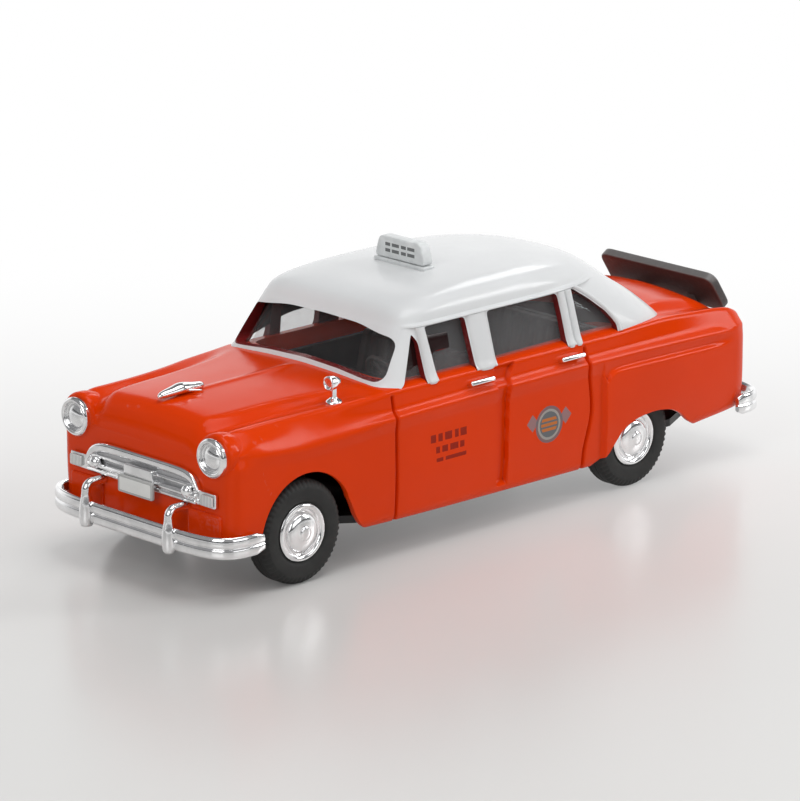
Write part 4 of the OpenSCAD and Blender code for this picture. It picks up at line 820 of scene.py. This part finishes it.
def roof_ring(z, inset, drop=0.0, lip=0.0, foot=0.0):
    """One level ring of the roof, with the gutter's lip and the pillars' feet added to its sides."""
    w, f = curve(z, ROOF_W) - inset, curve(z, ROOF_F) - inset * 1.25
    r, a, b = curve(z, ROOF_R) + inset * 1.25, curve(z, SQUARE_F), curve(z, SQUARE_R)
    ring = []
    for t in turns(RING):
        t += .22 * sin(4 * t) / 4
        c, s = cos(t), sin(t)
        e = 2 / (a if c >= 0 else b)
        x = CABIN_X + copysign(abs(c) ** e, c) * (f - CABIN_X if c >= 0 else CABIN_X - r)
        reach = w + lip * curve(x, GUTTER_ALONG) + foot * curve(x, FOOT_ALONG)
        ring.append((x, copysign(abs(s) ** e, s) * reach, z - drop))
    return ring


def heights(low):
    """Levels of the wall up to the gutter, and of the dome above it."""
    return ([low + (GUTTER - .5 - low) * k / 16 for k in range(17)],
            [ROOF - 4.1 + 4.1 * sin(pi / 2 * k / 26) for k in range(27)])


def fall(z, inset):
    """How far a lining lies below the skin at a height."""
    return inset * curve(z, [(BELT, 0), (GUTTER, .15), (ROOF - 1.5, .9), (ROOF, 1)])


wall, dome = heights(ROOF_FOOT)
outer = [roof_ring(ROOF_FOOT + up, 0, foot=curve(ROOF_FOOT + up, FOOT) - .4 * (1 - up / .36) ** 2)
         for up in (0, .06, .15, .25, .36)]
outer += [roof_ring(z, 0, foot=curve(z, FOOT)) for z in wall[1:]]
outer += [roof_ring(GUTTER + dz, 0, 0, lip) for dz, lip in ((-.34, .06), (-.28, .36), (-.2, .48), (.0, .5),
                                                            (.1, .44), (.2, .2), (.3, .02))]
outer += [roof_ring(z, 0) for z in dome]
lining = [roof_ring(z, 1.1, fall(z, 1.1)) for z in wall + dome]
roof = Shape()
roof.skin(outer, True, False)
roof.skin(lining, True, False, 1)
roof.skin([outer[0], lining[0]], True, False, 1)
outer_end, lining_end = len(outer) * RING, (len(outer) + len(lining)) * RING
roof.faces += [tuple(range(outer_end - RING, outer_end)), tuple(range(lining_end - 1, lining_end - RING - 1, -1))]
roof.looks += [0, 1]
# The grey second colour is painted shade for the roof's hollows.
white = enamel("roof_paint", (0.66, 0.67, 0.675, 1), (0.5, 0.5, 0.5, 1), 0.2)
# The inside's dark red is the body's red painted darker as shade; it also lines the window reveals.
inside = enamel("roof_inside", (0.16, 0.012, 0.012, 1), (0.07, 0.006, 0.006, 1))
top = roof.finish("roof_cast", "car", "roof_paint", ["roof_shell"], [white, inside], 40)


def round_corners(points, r, n=6):
    """An outline with each corner rounded by about r."""
    out = []
    for i, p in enumerate(points):
        c = Vector(p)
        a, b = (c + (Vector(q) - c).normalized() * min(r, (Vector(q) - c).length * .48)
                for q in (points[i - 1], points[(i + 1) % len(points)]))
        out += [(1 - t) ** 2 * a + 2 * t * (1 - t) * c + t * t * b for t in (k / n for k in range(n + 1))]
    return out


z0, z1 = BELT - 2, GUTTER - .5
SIDE_HOLES = [([(16.0, z1 - .6), (18.6, BELT + 1), (19.1, BELT + .1), (20.6, BELT - .7), (20.8, z0), (14.6, z0),
                (15.1, z1 - 2)], .5),
              ([(13.4, z1 + .05), (5.0, z1 + .1), (4.1, z0), (12.1, z0)], .7),
              ([(.3, z1 + .1), (-15.1, z1 + .05), (-15.5, z0), (-.2, z0)], .8),
              ([(-18.1, z1), (-19.0, z1), (-22.0, z1 - 2), (-25.0, z1 - 4.4), (-26.8, BELT + 1), (-27, z0),
                (-18.8, z0)], .6)]
cutters = Shape()
for outline, r in SIDE_HOLES:
    line = round_corners(outline, r)
    for sign in (1, -1):
        cutters.skin([[(p.x, sign * y, p.y) for p in line] for y in (8, 30)])
screen = [(-16.8, BELT + .6), (-8, BELT + 1.35), (0, BELT + 1.6), (8, BELT + 1.35), (16.8, BELT + .6),
          (15.7, GUTTER - 1.5), (8, GUTTER - .45), (0, GUTTER - .3), (-8, GUTTER - .45), (-15.7, GUTTER - 1.5)]
cutters.skin([[(x, p.x, p.y) for p in round_corners(screen, 1.6)] for x in (8, 34)])
back_light = [(-12.4, BELT + 2.3), (12.4, BELT + 2.3), (10.6, GUTTER - .7), (0, GUTTER - .1), (-10.6, GUTTER - .7)]
cutters.skin([[(x, p.x, p.y) for p in round_corners(back_light, 2)] for x in (-46, -22)])
cutter = put("window_cutters", cutters.mesh("window_cutters"))
cutter.data.materials.append(inside)
cut = top.modifiers.new("windows", "BOOLEAN")
cut.object, cut.operation, cut.solver, cut.material_mode = cutter, "DIFFERENCE", "MANIFOLD", "TRANSFER"
bpy.context.view_layer.update()
opened = bpy.data.meshes.new_from_object(top.evaluated_get(bpy.context.evaluated_depsgraph_get()))
top.modifiers.clear()
top.data = opened
bpy.data.objects.remove(cutter)
# Half-round covers on the pillars
posts = Shape()
drop = GUTTER - BELT + .5
for top_x, top_w, foot_x, foot_w, proud in ((2.65, 4.5, 1.95, 4.2, .42), (14.25, 1.75, 13.4, 2.4, .45),
                                            (-15.9, 1.5, -16.35, 1.7, .4), (-17.4, 1.4, -18.0, 1.6, .4)):
    for sign in (1, -1):
        rows = []
        for k in range(31):
            z = GUTTER - .3 - drop * k / 30
            f = (GUTTER - .3 - z) / drop
            end = sqrt(max(.02, 1 - max(0, (k - 26) / 4) ** 2))
            half, lift = (top_w + (foot_w - top_w) * f) / 2 * (.5 + .5 * end), proud * end
            rows.append([(top_x + (foot_x - top_x) * f + half * cos(t),
                          sign * (curve(z, ROOF_W) + curve(z, FOOT) - .3 + (.3 + lift) * sin(t) ** .8), z)
                         for t in (pi * j / 14 for j in range(15))])
        posts.skin(rows)
# Rolled rim behind the quarter window
edge = smooth_line([(-19.2, z1 + .25), (-20.4, z1 - .3), (-22.4, z1 - 1.7), (-25.3, z1 - 4.1), (-27.2, BELT + 1),
                    (-27.5, BELT - .2)], 6)
for sign in (1, -1):
    rows = []
    for i, (x, z) in enumerate(edge):
        (ax, az), (bx, bz) = edge[max(i - 1, 0)], edge[min(i + 1, len(edge) - 1)]
        long = hypot(bx - ax, bz - az)
        nx, nz = (bz - az) / long, (ax - bx) / long
        power, d = curve(z, SQUARE_R), (x - CABIN_X) / (curve(z, ROOF_R) - CABIN_X)
        y = curve(z, ROOF_W) * (1 - d ** power) ** (1 / power)
        rows.append([(x + nx * .42 * cos(t), sign * (y + .38 * sin(t)), z + nz * .42 * cos(t))
                     for t in turns(12)])
    posts.skin(rows)
work = bmesh.new()
work.from_mesh(opened)
corner = [work.verts.new((x * .001, y * .001, z * .001)) for x, y, z in posts.points]
extra = [work.faces.new([corner[k] for k in face]) for face in posts.faces]
bmesh.ops.recalc_face_normals(work, faces=extra)
work.to_mesh(opened)
work.free()
for polygon in opened.polygons:
    polygon.use_smooth = True
opened.set_sharp_from_angle(angle=radians(36))
pane = Shape()
wall, dome = heights(BELT + .02)
pane.skin([roof_ring(z, 1.2, fall(z, 1.2)) for z in wall + dome], True, False)
pane.skin([roof_ring(z, 1.75, fall(z, 1.75)) for z in wall + dome], True, False)
pane.skin([roof_ring(wall[0], i) for i in (1.2, 1.75)], True, False)
pane.finish("glazing_clear", "car", "clear_glazing", ["glazing"],
            [smoky("clear_glazing", (0.3, 0.3, 0.305, 1), 0.2)], 60)


# ---------------- sign and board
# A white sign with plain dark bars stands across the roof on a low foot.
# A dark satin board with round corners leans over the boot on two struts.
def sign_face(name):
    """White plastic, a little grimy, with plain dark bars in two rows."""
    made, start, place = material(name)
    _, y, z = place.parts()
    up = abs(z - 40.95)
    grime = place.noise(0.7, 4).ramp(0.3, 0.8)
    coat = grime.mix((0.62, 0.64, 0.64, 1), (0.74, 0.76, 0.76, 1))
    mark = None
    for middle, half in ((-2.6, .55), (-.9, .8), (.9, .55), (2.55, .8)):
        bar = (abs(y - middle) < half) * (up < .75) * (up > .22)
        mark = bar if mark is None else mark + bar
    coat = (mark * 0.85).mix(coat, (0.035, 0.04, 0.04, 1))
    surface(start, {"Base Color": coat, "Roughness": grime.ramp(0, 1, 0.35, 0.5),
                    "Normal": place.noise(3.0).bump(0.1, 0.0001)})
    return made


sign_look = sign_face("sign_plastic")
sign_panel = Shape()
base = ROOF + .03
outline = round_corners([(-5.6, base + .3), (5.6, base + .3), (4.55, base + 3.7), (-4.55, base + 3.7)], .9)
sign_panel.plate(outline, place_yz(.9), 2.0, .3)
foot = round_corners([(.6, -5.6), (3.2, -5.6), (3.2, 5.6), (.6, 5.6)], .5)
sign_panel.plate(foot, Matrix.Translation((0, 0, base - .4)), .6, .22)
sign_panel.finish("roof_sign_panel", "car", "sign_plastic", ["roof_sign"], [sign_look], 50)


def satin(name):
    """Satin dark plastic with scuffs, paler on its edges and on faces that look up."""
    made, start, place = material(name)
    grain = place.noise(2.0, 3)
    edge = start.add("NewGeometry", out="Pointiness").ramp(0.5, 0.56)
    scuff = place.noise(0.8, 5, 0.7).ramp(0.5, 0.8)
    up = start.add("NewGeometry", out="Normal").parts()[2].ramp(0.1, 0.7)
    pale = edge * 0.5 + scuff * 0.2 + up * 0.45
    surface(start, {"Base Color": pale.mix((0.014, 0.007, 0.007, 1), (0.2, 0.195, 0.19, 1)),
                    "Roughness": grain * 0.15 + 0.38,
                    "Normal": grain.bump(0.2, 0.0001)})
    return made


board_look = satin("board_plastic")
board = Shape()
tilt = Matrix.Translation((-53.9, 0, 28.2)) @ Matrix.Rotation(radians(33), 4, "Y")
face = Matrix(((0, 0, -1, 0), (-1, 0, 0, 0), (0, 1, 0, 0), (0, 0, 0, 1)))
board.plate(round_corners([(-12.5, -7.2), (12.5, -7.2), (12.5, 0), (-12.5, 0)], 1.9, 8), tilt @ face, 1.5, .3)
board.finish("boot_board_slab", "car", "board_plastic", ["boot_board"], [board_look], 50)
keep("boot_board_brackets", board_look, 0.15)


# ---------------- floor, light and camera
# A pale table top that fades into a white surround, under a broad soft light with fills from the front and the side.
# Two narrow lights behind the car draw streaks along its wings and ledges.
def table_top(name):
    """White behind the car, pale grey in front of it."""
    made, start, place = material(name)
    x, y, _ = place.parts()
    away = start.math("SQRT", x * x + y * y).ramp(180.0, 480.0)
    far = start.math("MAXIMUM", (x * 0.69 + y * 0.72).ramp(70.0, -150.0), away)
    cloud = place.noise(0.02, 2)
    near = cloud.mix((0.65, 0.644, 0.63, 1), (0.668, 0.662, 0.648, 1))
    shine = start.add("BsdfPrincipled", {"Base Color": near,
                                         "Roughness": place.noise(0.05, 2).ramp(0.3, 0.7, 0.24, 0.26)})
    glow = start.add("Emission", {"Color": (1, 1, 1, 1), "Strength": 1.0})
    start.add("OutputMaterial", {"Surface": start.add("MixShader", {0: far, 1: shine, 2: glow})})
    return made


floor_mesh = bpy.data.meshes.new("table_top")
ring = [(1.5 * cos(t), 1.5 * sin(t), 0) for t in turns(64)]
floor_mesh.from_pydata(ring, [], [tuple(range(len(ring)))])
floor_mesh.materials.append(table_top("table_top"))
floor = put("table_top", floor_mesh)


def lamp(name, at, aim, size, power, tall=None):
    """A soft rectangular light of some watts, turned to a point."""
    data = bpy.data.lights.new(name, "AREA")
    data.shape, data.size, data.size_y, data.energy = "RECTANGLE", size, tall or size, power
    light = put(name, data)
    light.location = at
    light.rotation_euler = (Vector(aim) - Vector(at)).to_track_quat("-Z", "Y").to_euler()


lamp("overhead", (-0.05, 0.12, 0.75), (0, 0, 0), 0.6, 2.75, 0.45)
lamp("front_fill", (0.75, 0.25, 0.45), (0, 0, 0.02), 0.5, 2.2)
lamp("side_fill", (-0.1, 0.9, 0.35), (0, 0, 0.02), 0.7, 1.1, 0.4)
lamp("ridge_light", (-0.74, 0.55, 0.47), (0, 0, 0.02), 0.22, 2.4, 0.45)
lamp("crest_light", (-0.75, -0.42, 0.66), (0, 0, 0.02), 0.2, 0.8, 0.3)
world = bpy.data.worlds.new("studio")
bpy.context.scene.world = world
world.use_nodes = True
world.node_tree.nodes.clear()
sky = Value(world.node_tree)
ray = sky.add("LightPath")
east, north, height = sky.add("TexCoord", out="Generated").parts()
near = abs(height - 0.12).ramp(0.02, 0.1).mix((0.04, 0.04, 0.042, 1), (0.3, 0.3, 0.305, 1))
backdrop = height.ramp(0.35, 0.6).mix((1.1, 1.1, 1.1, 1), (0.16, 0.16, 0.165, 1))
room = (east * -0.69 + north * -0.72).ramp(0.1, 0.55).mix(near, backdrop)
colour = ray.mix(room, (1, 1, 1, 1))
sky.add("OutputWorld", {"Surface": sky.add("Background", {"Color": colour, "Strength": 1.0})})
camera = put("camera", bpy.data.cameras.new("camera"))
camera.data.lens, camera.data.sensor_width, camera.data.sensor_fit = 225.16, 36.0, "HORIZONTAL"
camera.data.clip_start, camera.data.clip_end = 0.01, 10.0
eye = Vector((0.517353, 0.541581, 0.230496))
yaw, pitch, roll = 3.9526414, -0.2785932, -0.0032205
forward = Vector((cos(yaw) * cos(pitch), sin(yaw) * cos(pitch), sin(pitch)))
right = Vector((sin(yaw), -cos(yaw), 0))
up = right.cross(forward)
right, up = right * cos(roll) + up * sin(roll), up * cos(roll) - right * sin(roll)
camera.matrix_world = Matrix(((right.x, up.x, -forward.x, eye.x), (right.y, up.y, -forward.y, eye.y),
                              (right.z, up.z, -forward.z, eye.z), (0, 0, 0, 1)))
bpy.context.scene.camera = camera
bpy.context.scene.view_settings.view_transform = "Standard"
